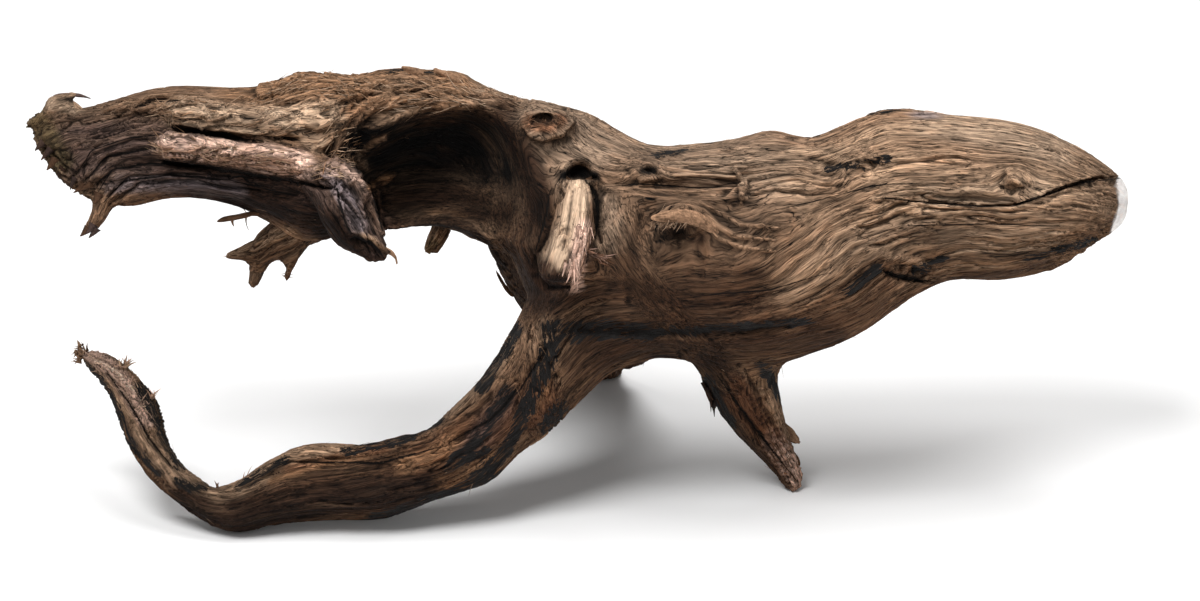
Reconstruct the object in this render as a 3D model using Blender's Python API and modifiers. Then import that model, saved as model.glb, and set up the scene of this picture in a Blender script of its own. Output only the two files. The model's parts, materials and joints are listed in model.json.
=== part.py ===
"""A piece of driftwood: a hollowed trunk with a rounded head at one end, a torn arm and a curling
root at the other, broken side branches and two short legs.

It is one natural body. Its masses are lofts drawn in the plane that faces the viewer, in
millimetres: x runs right, z runs up in that plane and depth runs away from the viewer. They are
fused, hollowed and pressed into shape there. The piece is then tipped forward onto its three
feet: the bend of the long root, the broken leg and the back root.
"""

import math

import bmesh
import bpy
import numpy as np
from mathutils import Matrix, Vector, noise

MM = 0.001
VIEW_TILT = math.radians(25)
FOOTPRINT_MIDDLE = (-10.57, 89.86, 0)

RING_POINTS = 32
STEPS_BETWEEN_SECTIONS = 5
BODY_VOXEL = 2.4 * MM
FINE_VOXEL = 1.7 * MM
BODY_SMOOTHING = 8
FINE_SMOOTHING = 2
TRIANGLES = 11000

# A section is one edge (x, z), the other edge (x, z), the depth of its middle and half its
# thickness in depth, all in millimetres.
TRUNK = [
    ((265.5, 172), (264, 156), 8, 9),
    ((261.5, 177.5), (260, 151.5), 8, 15),
    ((250, 186.5), (249, 145), 8, 27),
    ((237.5, 193.5), (237.5, 137), 7, 34),
    ((220, 202), (222.5, 131), 6, 39),
    ((200, 207), (200, 125.5), 6, 41),
    ((175, 209), (175, 125), 5, 42),
    ((147.5, 211.5), (150, 112), 4, 45),
    ((132.5, 208), (134, 100), 4, 47),
    ((120, 202), (120, 93), 4, 49),
    ((102.5, 195.5), (102.5, 88.5), 4, 50),
    ((85, 199.5), (85, 84), 4, 51),
    ((65, 195.5), (65, 83), 5, 51),
    ((45, 195), (45, 85), 5, 50),
    ((25, 195.5), (27.5, 86), 5, 49),
    ((10, 202.5), (12.5, 82), 5, 48),
    ((-5, 209.5), (-5, 84), 5, 46),
    ((-20, 213), (-22, 96), 6, 42),
]
ARCH = [
    ((0, 207), (-8, 101), 8, 44),
    ((-20, 213.5), (-32.5, 113.5), 10, 42),
    ((-37.5, 217.5), (-45, 138.5), 12, 40),
    ((-55, 223), (-57.5, 144), 12, 38),
    ((-70, 230), (-75, 151.5), 11, 37),
    ((-82.5, 231), (-90, 152), 9, 36),
    ((-100, 232), (-105, 149.5), 7, 35),
    ((-115, 230), (-117, 150), 5, 34),
    ((-130, 226.5), (-132, 158), 3, 32),
]
ARM = [
    ((-122, 224), (-124, 150), -2, 31),
    ((-143.5, 230), (-145, 144.5), -4, 30),
    ((-160, 224), (-162, 153), -5, 27),
    ((-180, 222), (-180, 162.5), -6, 24),
    ((-200, 222.5), (-200, 166.5), -6, 20),
    ((-220, 222.5), (-217, 165.5), -6, 17),
    ((-235, 218.5), (-233, 161), -7, 14),
    ((-250, 214.5), (-252, 164), -8, 12),
    ((-263, 211.5), (-267, 172.5), -9, 9),
    ((-275, 210), (-275.5, 183), -11, 6),
    ((-282, 207), (-281.5, 192), -12, 4),
]
LONG_ROOT = [
    ((-20, 140), (45, 92), 0, 34),
    ((-39, 111), (10, 83), 0, 30),
    ((-50, 91), (-5, 70), 0, 25),
    ((-61, 75), (-24, 50), 0, 22),
    ((-74, 62), (-40, 38.5), 0, 20),
    ((-86, 51), (-55, 24), 0, 19),
    ((-100, 47.5), (-82.5, 15), 0, 18.5),
    ((-114, 44), (-107.5, 7), 0, 18.5),
    ((-127.5, 42.5), (-127.5, 7), 0, 17.5),
    ((-141, 43.5), (-144, 6), 0, 17),
    ((-157.5, 40), (-159, 4.5), -1, 16.5),
    ((-172.5, 32), (-171, 1.5), -2, 15),
    ((-184, 24.5), (-181, -1), -3, 13.5),
    ((-192, 22.5), (-194, 3), -3, 12),
    ((-200, 28.5), (-210, 13.5), -2, 11),
    ((-209, 35), (-224, 25), 0, 10),
    ((-216, 47), (-236, 41), 3, 9),
    ((-220, 60), (-243.5, 59), 7, 8.5),
    ((-227, 72), (-249, 71), 10, 8),
    ((-236, 82), (-256, 78), 13, 6.5),
    ((-247, 90), (-260, 83), 16, 4.5),
    ((-259, 93), (-264.5, 87.5), 18, 3.2),
    ((-267, 94), (-268, 89), 19, 2.4),
]
BROKEN_LEG = [
    ((42, 104), (96, 108), 8, 30),
    ((47, 88), (92, 86), 12, 24),
    ((51, 75), (89, 77), 17, 19),
    ((59, 60), (92, 64.5), 24, 16),
    ((70, 46), (95, 51), 31, 13),
    ((78.5, 37.5), (98, 43), 35, 10),
    ((87.5, 28.5), (100.5, 33), 39, 8),
    ((94, 20.5), (103, 23.5), 42, 7),
    ((96, 16), (102, 17), 44, 6),
]
BACK_ROOT = [
    ((-62, 160), (25, 165), 38, 26),
    ((-55, 137), (34, 128), 54, 28),
    ((-46, 119), (38, 103), 76, 29),
    ((-34, 104), (34, 91.5), 100, 26),
    ((-21, 93), (27, 83.5), 124, 22),
    ((-13, 85), (18, 79.5), 145, 19),
    ((-10, 79), (13, 78), 163, 18),
    ((-9, 71), (12, 71), 176, 17),
]
HOLLOW = [
    ((-127, 196), (-127, 180), -30, 30),
    ((-121, 199), (-121, 148), -36, 50),
    ((-107.5, 202.5), (-107.5, 142), -36, 56),
    ((-95, 210), (-95, 142), -36, 57),
    ((-80, 214), (-80, 145), -36, 57),
    ((-62.5, 215.5), (-62.5, 142), -38, 56),
    ((-50, 213), (-50, 130), -44, 52),
    ((-40, 207), (-40, 126), -54, 44),
    ((-31, 191), (-31, 121), -62, 34),
    ((-26, 178), (-26, 131), -66, 24),
]
KNOB = [
    ((-140, 186), (-150, 172), -32, 10),
    ((-125, 182), (-141, 163.5), -37, 13),
    ((-117.5, 175), (-136, 153.5), -39, 14),
    ((-111, 166), (-131, 144.5), -39, 13),
    ((-108, 155), (-126, 141), -38, 11),
    ((-105.5, 146), (-119, 137.5), -38, 8),
    ((-104.5, 140), (-113.5, 134), -38, 5),
    ((-104, 136), (-108, 134), -38, 3),
]
UPPER_FINGER = [
    ((-215, 214.5), (-214, 205), -26, 6),
    ((-200, 216), (-202, 201), -26, 9),
    ((-180, 212), (-182, 198), -29, 10),
    ((-155, 211), (-157, 197.5), -32, 10),
    ((-127.5, 213.5), (-130, 196), -30, 10),
]
LOWER_FINGER = [
    ((-220, 196), (-218.5, 187), -27, 7),
    ((-207.5, 200.5), (-206.5, 187), -29, 9),
    ((-192.5, 197), (-192.5, 186), -31, 9),
    ((-170, 197), (-170, 184.5), -33, 9),
    ((-150, 192), (-150, 180), -34, 10),
    ((-132.5, 185), (-137.5, 171), -36, 11),
]
FORK_STEM = [
    ((-133, 176), (-127, 150), 10, 12),
    ((-147, 166), (-138, 146), 16, 11),
    ((-157.5, 160), (-147, 143.5), 21, 10),
    ((-168.5, 154.5), (-157, 138), 26, 9),
    ((-175, 147), (-167, 135.5), 30, 7.5),
    ((-181, 143.5), (-177.5, 135.5), 31, 5.5),
    ((-187, 141), (-185.5, 136), 32, 4),
    ((-191.5, 139), (-191, 136.5), 33, 2.5),
]
FORK_LOWER_PRONG = [
    ((-176.5, 140), (-163.5, 141), 31, 7),
    ((-177.5, 134), (-166.5, 135.5), 33, 6),
    ((-178.5, 127.5), (-170, 128.5), 35, 5),
    ((-178.5, 121.5), (-173, 122), 36, 3.5),
]
FORK_SMALL_PRONG = [
    ((-158, 143), (-147, 144.5), 24, 5),
    ((-159.5, 135), (-151.5, 136.5), 26, 4),
    ((-160, 129.5), (-155, 130), 27, 3),
    ((-160, 123.5), (-157.5, 124), 28, 2.2),
]
STUB_BEHIND_ARCH = [
    ((-84, 168), (-70, 165), 40, 7.5),
    ((-86, 155), (-75, 153), 45, 6.5),
    ((-89.5, 145.5), (-80, 143), 48, 5.5),
    ((-91.5, 141), (-84, 138.5), 49, 4),
]
TORN_MASS = [
    ((-176, 216), (-174, 192), -18, 8),
    ((-163, 221), (-161, 186), -23, 11),
    ((-149, 226), (-147, 183), -26, 13),
    ((-137, 227), (-137, 183), -26, 14),
    ((-128, 225), (-131, 189), -25, 13),
    ((-118, 225), (-121, 202), -21, 10),
    ((-104, 226), (-106, 206), -16, 9),
    ((-90, 225), (-91, 211), -13, 7),
    ((-78, 222), (-79, 214), -12, 4),
]
FLAKE = [
    ((-279, 207), (-259, 208), -12, 4),
    ((-276.5, 215.5), (-261, 214), -12, 3.2),
    ((-273, 219), (-266, 217.5), -12, 2.6),
]
FLAKE_SPIKE = [
    ((-270, 219.5), (-269, 216), -12, 2.6),
    ((-262, 219.5), (-262, 217), -13, 2.2),
    ((-255.5, 219.5), (-255, 217.2), -14, 1.6),
]
ARM_TIP = [
    ((-275, 210), (-277, 198), -11, 4.5),
    ((-282.5, 208), (-282, 201.5), -12, 3.2),
    ((-287.5, 204), (-286.5, 201.5), -12, 2),
]
CLAW = [
    ((-250, 172), (-238, 168), -9, 8),
    ((-253.5, 160), (-245.5, 156), -11, 5.5),
    ((-256, 154), (-249, 151.5), -13, 4),
    ((-259, 151.5), (-252, 149), -15, 2.6),
]
BROKEN_STUB = [
    ((-17.5, 181), (-4, 180), -32, 9),
    ((-19.5, 168.5), (-1.5, 168.5), -39, 10),
    ((-23, 157), (-1.5, 157), -45, 11),
    ((-25.5, 146), (-5, 144.5), -50, 11),
    ((-27.5, 137), (-7.5, 135), -54, 10),
    ((-29.5, 130), (-11, 128), -57, 9),
    ((-29.5, 126), (-15, 124), -58, 7),
]
CURL = [
    ((26, 157), (27.5, 154.5), -53, 3),
    ((32, 161.5), (33.5, 152.5), -51, 5),
    ((40, 163), (41.5, 153), -48, 6.5),
    ((47, 160), (46.5, 150), -44, 7),
    ((53, 155), (50, 148), -40, 7),
]

# Each is its middle (x, depth, z) and its radii.
KNOT_LUMP = ((-26.5, -19, 202.5), (15.5, 14, 9))
KNOT_PIT = ((-29, -34, 205), (8.5, 13, 4))
STUB_POCKET = ((-10.5, -40, 181), (7, 15, 4.2))
EYE_HOLE = ((24.5, -33, 180), (5.5, 13, 3))
CURL_PIT = ((37, -47, 148.5), (7.5, 10, 4.2))

# A stroke is its line of (x, z) points, half its width in the middle and how far it raises the
# surface; a negative rise presses it in. It thins out towards both of its ends.
FRONT_STROKES = [
    ([(2, 172), (20, 172), (45, 170), (72, 173)], 6.5, -4.5),
    ([(20, 182), (40, 178), (74, 180)], 5, 2.2),
    ([(22, 163), (45, 162), (68, 165)], 4, 1.5),
    ([(-40, 90), (-20, 103), (10, 102), (50, 100), (80, 100), (116, 105)], 5, -3),
    ([(142, 131), (155, 129.5), (166, 125)], 4.5, -6),
    ([(135, 138), (150, 136), (166, 131)], 4, 2),
    ([(98, 186), (125, 183), (146, 182)], 4.5, -3),
    ([(98, 206), (102, 184), (95, 165), (78, 135), (50, 118)], 17, 2.2),
    ([(142, 166), (180, 164.5), (202, 163), (220, 167), (240, 174), (262, 178)], 3, -3.6),
    ([(199, 178), (207, 177), (214, 175)], 8, 2.8),
    ([(-46, 70), (-62, 58), (-76, 44)], 11, -4),
    ([(-34, 78), (-50, 66), (-62, 46)], 5, 2),
    ([(-90, 34), (-130, 33), (-160, 29), (-185, 18)], 7, -3.2),
    ([(-120, 42), (-150, 41), (-176, 26)], 4, 2),
    ([(-222, 68), (-232, 50), (-218, 34)], 4, 2),
    ([(-196, 176), (-170, 173), (-140, 166)], 7, -4.5),
    ([(-258, 184), (-225, 186), (-192, 184)], 5, -2.4),
    ([(-262, 177), (-235, 178), (-205, 177)], 4, 2),
    ([(-270, 200), (-240, 206), (-214, 206)], 5, -2.6),
    ([(-126, 176), (-123, 164), (-117, 150)], 4, -4),
    ([(-116, 170), (-112, 158), (-109, 146)], 3.5, -3),
    ([(-136, 178), (-128, 168), (-128, 152)], 4, 2.4),
    ([(-30, 172), (-31, 150), (-34, 128)], 9, -4),
    ([(-3, 178), (2, 165), (1, 148)], 3.5, -4),
    ([(66, 62), (76, 50), (88, 38)], 4, -3),
]
BACK_STROKES = [
    ([(-66, 186), (-30, 180), (20, 174), (74, 171)], 6, -3.5),
    ([(20, 190), (60, 186), (108, 190), (150, 196)], 12, 2.6),
    ([(92, 168), (140, 160), (196, 163)], 5, -3),
    ([(60, 122), (100, 128), (150, 144), (210, 148)], 9, -3.4),
    ([(-224, 196), (-180, 202), (-128, 207)], 6, -3),
    ([(-112, 188), (-80, 196), (-48, 196)], 8, 2.6),
    ([(-200, 184), (-160, 179), (-120, 182)], 7, 2.4),
    ([(114, 178), (131, 172), (148, 180)], 14, 3),
    ([(-40, 140), (-24, 120), (-14, 96)], 8, -4),
    ([(6, 140), (14, 112), (6, 92)], 6, -3),
    ([(-180, 12), (-140, 24), (-90, 36), (-50, 66)], 6, -3),
]
STROKE_FACING = 0.15


def catmull_rom(rows, steps):
    """Rows of numbers made denser by a smooth curve that passes through each of them."""
    rows = np.array(rows, float)
    ends = np.vstack([2 * rows[0] - rows[1], rows, 2 * rows[-1] - rows[-2]])
    made = []
    for a, b, c, d in zip(ends, ends[1:], ends[2:], ends[3:]):
        for t in np.arange(steps) / steps:
            made.append(
                b
                + 0.5 * (c - a) * t
                + 0.5 * (2 * a - 5 * b + 4 * c - d) * t**2
                + 0.5 * (3 * b - a - 3 * c + d) * t**3
            )
    made.append(rows[-1])
    return np.array(made)


def add_object(name, bm):
    bmesh.ops.recalc_face_normals(bm, faces=bm.faces)
    mesh = bpy.data.meshes.new(name)
    bm.to_mesh(mesh)
    bm.free()
    obj = bpy.data.objects.new(name, mesh)
    bpy.context.scene.collection.objects.link(obj)
    return obj


def loft(name, sections, flutes=0.0):
    """A closed body through oval sections. Flutes are long ridges, as a share of its radius."""
    rows = [(*one, *other, depth, half) for one, other, depth, half in sections]
    turn = np.linspace(0, 2 * math.pi, RING_POINTS, endpoint=False)
    bm = bmesh.new()
    rings = []
    travelled = 0.0
    before = None
    for x1, z1, x2, z2, depth, half in catmull_rom(rows, STEPS_BETWEEN_SECTIONS):
        middle = Vector(((x1 + x2) / 2, depth, (z1 + z2) / 2))
        across = Vector(((x1 - x2) / 2, 0, (z1 - z2) / 2))
        away = Vector((0, half, 0))
        travelled += (middle - before).length if before else 0
        before = middle
        ring = []
        for a in turn:
            ridge = noise.noise((3.2 * math.cos(a), 3.2 * math.sin(a), travelled / 70))
            out = across * math.cos(a) + away * math.sin(a)
            ring.append(bm.verts.new((middle + out * (1 + flutes * ridge)) * MM))
        rings.append(ring)
    for first, second in zip(rings, rings[1:]):
        for i in range(RING_POINTS):
            j = (i + 1) % RING_POINTS
            bm.faces.new((first[i], first[j], second[j], second[i]))
    bm.faces.new(rings[0])
    bm.faces.new(rings[-1])
    return add_object(name, bm)


def ball(name, middle, radii):
    bm = bmesh.new()
    bmesh.ops.create_uvsphere(bm, u_segments=20, v_segments=12, radius=MM)
    bmesh.ops.scale(bm, vec=radii, verts=bm.verts)
    bmesh.ops.translate(bm, vec=Vector(middle) * MM, verts=bm.verts)
    return add_object(name, bm)


def settle(obj):
    """Replaces the object's mesh by what its modifiers make of it."""
    graph = bpy.context.evaluated_depsgraph_get()
    mesh = bpy.data.meshes.new_from_object(obj.evaluated_get(graph))
    obj.modifiers.clear()
    obj.data = mesh


def fuse(name, pieces, voxel, smoothing):
    """One body from overlapping ones, with the creases between them smoothed over."""
    bm = bmesh.new()
    for piece in pieces:
        bm.from_mesh(piece.data)
        bpy.data.objects.remove(piece)
    body = add_object(name, bm)
    remesh = body.modifiers.new("fuse", "REMESH")
    remesh.mode = "VOXEL"
    remesh.voxel_size = voxel
    smooth = body.modifiers.new("smooth", "SMOOTH")
    smooth.factor = 0.5
    smooth.iterations = smoothing
    settle(body)
    return body


def cut(body, cutter):
    boolean = body.modifiers.new("cut", "BOOLEAN")
    boolean.operation = "DIFFERENCE"
    boolean.solver = "EXACT"
    boolean.object = cutter
    settle(body)
    bpy.data.objects.remove(cutter)


def stroke_profile(points, line, half_width):
    """1 on the middle of a stroke through a few (x, z) points, 0 off it."""
    line = np.array(line, float)
    lengths = np.hypot(*(line[1:] - line[:-1]).T)
    reached = np.concatenate([[0], np.cumsum(lengths)]) / lengths.sum()
    nearest = np.full(len(points), np.inf)
    place = np.zeros(len(points))
    for start, end, first, last in zip(line, line[1:], reached, reached[1:]):
        along = end - start
        share = np.clip((points - start) @ along / (along @ along), 0, 1)
        gap = np.hypot(*(points - start - share[:, None] * along).T)
        closer = gap < nearest
        nearest = np.where(closer, gap, nearest)
        place = np.where(closer, first + share * (last - first), place)
    width = half_width * (0.35 + 0.65 * np.sin(np.pi * place))
    strength = np.minimum(1, 5 * np.minimum(place, 1 - place) + 0.15)
    return strength * np.clip(1 - (nearest / width) ** 2, 0, 1) ** 2


def press(body, strokes, facing):
    """Raises or sinks the side that faces along depth in the given sense along each stroke."""
    count = len(body.data.vertices)
    points = np.empty(count * 3, np.float32)
    normals = np.empty(count * 3, np.float32)
    body.data.vertices.foreach_get("co", points)
    body.data.vertices.foreach_get("normal", normals)
    points = points.reshape(-1, 3)
    normals = normals.reshape(-1, 3)
    seen = np.clip((facing * normals[:, 1] - STROKE_FACING) * 4, 0, 1)
    rise = np.zeros(count)
    for line, half_width, height in strokes:
        rise += height * seen * stroke_profile(points[:, [0, 2]] / MM, line, half_width)
    points += normals * rise[:, None].astype(np.float32) * MM
    body.data.vertices.foreach_set("co", points.ravel())
    body.data.update()


def stand(body):
    """Tips the body onto its feet, wears them flat and puts the origin under its middle."""
    body.data.transform(Matrix.Rotation(-VIEW_TILT, 4, "X"))
    bm = bmesh.new()
    bm.from_mesh(body.data)
    bmesh.ops.triangulate(bm, faces=bm.faces)
    worn = bmesh.ops.bisect_plane(
        bm,
        geom=bm.verts[:] + bm.edges[:] + bm.faces[:],
        plane_co=(0, 0, 0),
        plane_no=(0, 0, -1),
        clear_outer=True,
    )
    rims = [e for e in worn["geom_cut"] if isinstance(e, bmesh.types.BMEdge)]
    soles = bmesh.ops.holes_fill(bm, edges=rims)["faces"]
    bmesh.ops.triangulate(bm, faces=soles)
    bm.to_mesh(body.data)
    bm.free()
    body.data.transform(Matrix.Translation(-Vector(FOOTPRINT_MIDDLE) * MM))


def wood_material():
    material = bpy.data.materials.new("weathered_wood")
    material.use_nodes = True
    shader = material.node_tree.nodes["Principled BSDF"]
    shader.inputs["Base Color"].default_value = (0.19, 0.115, 0.066, 1)
    shader.inputs["Roughness"].default_value = 0.82
    shader.inputs["Metallic"].default_value = 0.0
    return material


def build():
    for obj in list(bpy.data.objects):
        bpy.data.objects.remove(obj)
    masses = [
        loft("trunk", TRUNK, 0.07),
        loft("arch", ARCH, 0.05),
        loft("arm", ARM, 0.06),
        loft("long_root", LONG_ROOT, 0.14),
        loft("broken_leg", BROKEN_LEG, 0.16),
        loft("back_root", BACK_ROOT, 0.12),
    ]
    body = fuse("driftwood", masses, BODY_VOXEL, BODY_SMOOTHING)
    cut(body, loft("hollow", HOLLOW, 0.04))
    details = [
        loft("torn_mass", TORN_MASS, 0.15),
        loft("knob", KNOB, 0.2),
        loft("upper_finger", UPPER_FINGER, 0.2),
        loft("lower_finger", LOWER_FINGER, 0.2),
        loft("fork_stem", FORK_STEM, 0.1),
        loft("fork_lower_prong", FORK_LOWER_PRONG, 0.1),
        loft("fork_small_prong", FORK_SMALL_PRONG),
        loft("stub_behind_arch", STUB_BEHIND_ARCH, 0.1),
        loft("flake", FLAKE),
        loft("flake_spike", FLAKE_SPIKE),
        loft("arm_tip", ARM_TIP),
        loft("claw", CLAW),
        loft("broken_stub", BROKEN_STUB, 0.15),
        loft("curl", CURL),
        ball("knot_lump", *KNOT_LUMP),
    ]
    body = fuse("driftwood", [body, *details], FINE_VOXEL, 1)
    for name, pit in (
        ("knot_pit", KNOT_PIT),
        ("stub_pocket", STUB_POCKET),
        ("eye_hole", EYE_HOLE),
        ("curl_pit", CURL_PIT),
    ):
        cut(body, ball(name, *pit))
    body = fuse("driftwood", [body], FINE_VOXEL, FINE_SMOOTHING)
    press(body, FRONT_STROKES, -1)
    press(body, BACK_STROKES, 1)
    thin = body.modifiers.new("fewer_triangles", "DECIMATE")
    thin.ratio = TRIANGLES / (2 * len(body.data.polygons))
    settle(body)
    stand(body)
    body.data.materials.clear()
    body.data.materials.append(wood_material())
    body.data.shade_smooth()
    collection = bpy.data.collections.new("driftwood")
    bpy.context.scene.collection.children.link(collection)
    collection.objects.link(body)
    bpy.context.scene.collection.objects.unlink(body)


build()
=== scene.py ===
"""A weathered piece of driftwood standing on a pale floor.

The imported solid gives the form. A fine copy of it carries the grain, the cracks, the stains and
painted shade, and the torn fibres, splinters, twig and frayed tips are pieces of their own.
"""

import json
import math

import bpy
import numpy as np
from mathutils import Euler, Matrix, Vector

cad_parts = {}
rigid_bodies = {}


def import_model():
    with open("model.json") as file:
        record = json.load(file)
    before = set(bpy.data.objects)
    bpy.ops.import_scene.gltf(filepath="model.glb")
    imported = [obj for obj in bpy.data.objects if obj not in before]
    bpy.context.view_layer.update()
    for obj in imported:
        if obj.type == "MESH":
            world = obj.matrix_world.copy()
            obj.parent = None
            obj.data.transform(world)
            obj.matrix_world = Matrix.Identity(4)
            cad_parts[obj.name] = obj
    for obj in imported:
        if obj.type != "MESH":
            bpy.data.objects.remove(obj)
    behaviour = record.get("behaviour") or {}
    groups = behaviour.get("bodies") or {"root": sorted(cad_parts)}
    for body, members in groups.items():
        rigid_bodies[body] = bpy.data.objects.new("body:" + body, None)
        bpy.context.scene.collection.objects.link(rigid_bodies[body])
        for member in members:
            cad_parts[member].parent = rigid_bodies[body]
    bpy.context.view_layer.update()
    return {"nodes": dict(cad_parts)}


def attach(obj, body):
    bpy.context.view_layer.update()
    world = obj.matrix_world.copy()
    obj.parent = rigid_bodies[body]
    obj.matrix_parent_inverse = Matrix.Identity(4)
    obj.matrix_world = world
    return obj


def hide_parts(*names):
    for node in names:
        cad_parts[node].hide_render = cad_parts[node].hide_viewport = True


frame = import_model()

# The piece was drawn at twice its size on a sheet that faces the viewer, as seen from
# VIEW_DISTANCE: u runs right and v down, in half millimetres, and depth runs away from the
# viewer, in millimetres.
# The piece stands tipped forward.
VIEW_TILT = math.radians(25)
SHEET_CORNER = (300, 266)
EYE_LEVEL = 300.5
VIEW_DISTANCE = 2500
SHEET_MIDDLE = (-10.57, 89.86)
MM = 0.001
NODE = "driftwood"
VOXEL = 0.85 * MM
BODY_TRIANGLES = 195000
WELD_GAP = 0.01 * MM
BODY_SMOOTHINGS = 6
# The relief grows in over this height above the floor, in millimetres.
SOLE_HEIGHT = 1.5

# ------------------------------------------------------------------ where things are drawn


def to_sheet(points):
    """Rows of world metres as u, v and depth on the sheet."""
    x = points[:, 0] / MM + SHEET_MIDDLE[0]
    y = points[:, 1] / MM + SHEET_MIDDLE[1]
    z = points[:, 2] / MM
    up = y * math.sin(VIEW_TILT) + z * math.cos(VIEW_TILT)
    depth = y * math.cos(VIEW_TILT) - z * math.sin(VIEW_TILT)
    seen = VIEW_DISTANCE / (VIEW_DISTANCE + depth)
    v = EYE_LEVEL + (2 * (SHEET_CORNER[1] - up) - EYE_LEVEL) * seen
    return np.stack([2 * (x * seen + SHEET_CORNER[0]), v, depth], axis=1)


def from_sheet(u, v, depth):
    """A world point in metres from u, v and depth on the sheet."""
    true_size = (VIEW_DISTANCE + depth) / VIEW_DISTANCE
    x = (u / 2 - SHEET_CORNER[0]) * true_size
    up = SHEET_CORNER[1] - (EYE_LEVEL + (v - EYE_LEVEL) * true_size) / 2
    y = up * math.sin(VIEW_TILT) + depth * math.cos(VIEW_TILT)
    z = up * math.cos(VIEW_TILT) - depth * math.sin(VIEW_TILT)
    return Vector((x - SHEET_MIDDLE[0], y - SHEET_MIDDLE[1], z)) * MM


TOWARD_VIEWER = np.array([0, -math.cos(VIEW_TILT), math.sin(VIEW_TILT)])

# Each grain line is its place across the grain, its place along the grain where it starts (both in
# millimetres) and its points on the sheet, from the head towards the arm or the root.
GRAIN_LINES = [
    (
        0, 0, [(1115, 170), (1075, 146), (1040, 130), (1000, 120), (950, 116), (910, 114),
        (880, 113), (840, 130), (805, 142), (770, 136), (740, 140), (690, 143), (640, 139),
        (600, 121), (560, 106), (520, 99), (480, 84), (440, 70), (400, 68), (360, 77), (320, 74),
        (280, 87), (240, 90), (200, 89), (160, 90), (130, 97), (100, 106), (60, 112), (35, 125)]
    ),
    (
        10, 0, [(1118, 180), (1080, 160), (1040, 146), (1000, 138), (950, 134), (910, 132),
        (880, 133), (850, 145), (815, 156), (780, 156), (740, 157), (690, 160), (650, 157),
        (615, 142), (580, 126), (540, 106), (500, 96), (460, 84), (430, 80), (400, 79), (360, 87),
        (320, 85), (290, 95), (240, 98), (200, 98), (160, 99), (130, 105), (100, 114), (60, 121),
        (38, 132)]
    ),
    (
        18, 5, [(1110, 186), (1060, 168), (1000, 152), (950, 147), (900, 147), (870, 154),
        (840, 164), (800, 168), (760, 172), (720, 172), (690, 172), (645, 168), (610, 164),
        (575, 154), (545, 147), (520, 135), (500, 118), (470, 106), (430, 100), (390, 98),
        (350, 100), (310, 108), (270, 112), (230, 112), (190, 111), (160, 113), (130, 119),
        (100, 129), (65, 136), (42, 150)]
    ),
    (
        26, 8, [(1105, 195), (1060, 180), (1000, 166), (940, 164), (890, 169), (850, 178),
        (815, 187), (775, 190), (735, 190), (690, 190), (650, 190), (620, 188), (600, 196)]
    ),
    (
        32, 10, [(1100, 202), (1050, 192), (1000, 182), (940, 182), (890, 187), (850, 196),
        (820, 212), (790, 235), (765, 252), (735, 265), (700, 270), (660, 272), (620, 272),
        (590, 280), (560, 295), (540, 315), (520, 340), (500, 368), (480, 392), (455, 412),
        (425, 436), (385, 443), (340, 452), (300, 456), (262, 468), (230, 486), (205, 488),
        (188, 470), (175, 450), (160, 412), (145, 392), (130, 370), (100, 354), (78, 345)]
    ),
    (
        41, 12, [(1095, 212), (1050, 208), (1000, 202), (940, 204), (890, 210), (850, 222),
        (820, 241), (790, 262), (760, 280), (720, 290), (680, 293), (640, 295), (600, 300),
        (575, 308), (555, 322), (538, 345), (520, 372), (500, 398), (475, 422), (445, 440),
        (400, 455), (350, 465), (300, 470), (262, 482), (232, 498), (205, 495), (180, 475),
        (165, 450), (150, 420), (138, 395), (122, 372), (98, 358), (75, 348)]
    ),
    (
        50, 14, [(1088, 224), (1050, 223), (1000, 221), (950, 223), (900, 229), (865, 241),
        (835, 259), (805, 279), (770, 298), (730, 308), (690, 312), (650, 313), (610, 316),
        (585, 325), (565, 342), (548, 365), (530, 392), (510, 418), (485, 440), (455, 458),
        (405, 472), (355, 480), (305, 487), (262, 500), (232, 510), (198, 505), (172, 488),
        (152, 462), (137, 430), (124, 400), (108, 380), (90, 366), (72, 352)]
    ),
    (
        60, 20, [(1076, 238), (1040, 241), (1000, 243), (950, 244), (910, 249), (880, 263),
        (850, 281), (815, 301), (775, 318), (735, 328), (695, 332), (655, 332), (620, 336),
        (595, 345), (575, 362), (558, 388), (540, 412), (520, 436), (495, 458), (460, 476),
        (410, 490), (358, 498), (308, 503), (262, 514), (232, 522), (195, 514), (163, 494),
        (141, 466), (124, 436), (111, 408), (99, 388), (84, 370), (70, 355)]
    ),
    (
        70, 30, [(1055, 254), (1030, 260), (1000, 263), (950, 264), (918, 268), (895, 284),
        (862, 304), (825, 323), (780, 341), (735, 347), (690, 349), (650, 350), (622, 358),
        (603, 372), (584, 395), (567, 418), (542, 436), (517, 457), (487, 484), (440, 501),
        (395, 513), (350, 520), (300, 521), (262, 527), (232, 531), (190, 512), (155, 490),
        (132, 460), (116, 430), (100, 395), (80, 370)]
    ),
    (
        79, 40, [(1030, 276), (1000, 281), (950, 282), (925, 286), (900, 304), (870, 328),
        (840, 345), (800, 357), (770, 363), (735, 363), (690, 365), (660, 363), (630, 376)]
    ),
    (
        25, 400, [(345, 150), (300, 150), (250, 146), (200, 143), (165, 146), (130, 132),
        (100, 142), (75, 152), (52, 160)]
    ),
    (
        32, 396, [(360, 187), (320, 179), (280, 172), (240, 168), (200, 160), (160, 150),
        (130, 148), (106, 158), (88, 174), (78, 186)]
    ),
    (
        41, 394, [(365, 203), (330, 194), (290, 187), (250, 181), (210, 175), (170, 168),
        (135, 167), (112, 178), (98, 198), (90, 215)]
    ),
    (
        50, 392, [(370, 224), (340, 214), (300, 204), (260, 197), (220, 191), (180, 186),
        (145, 187), (122, 196), (108, 212), (95, 232)]
    ),
    (
        60, 388, [(380, 250), (350, 240), (310, 228), (270, 215), (235, 206), (200, 199),
        (160, 202), (130, 207)]
    ),
]
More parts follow.
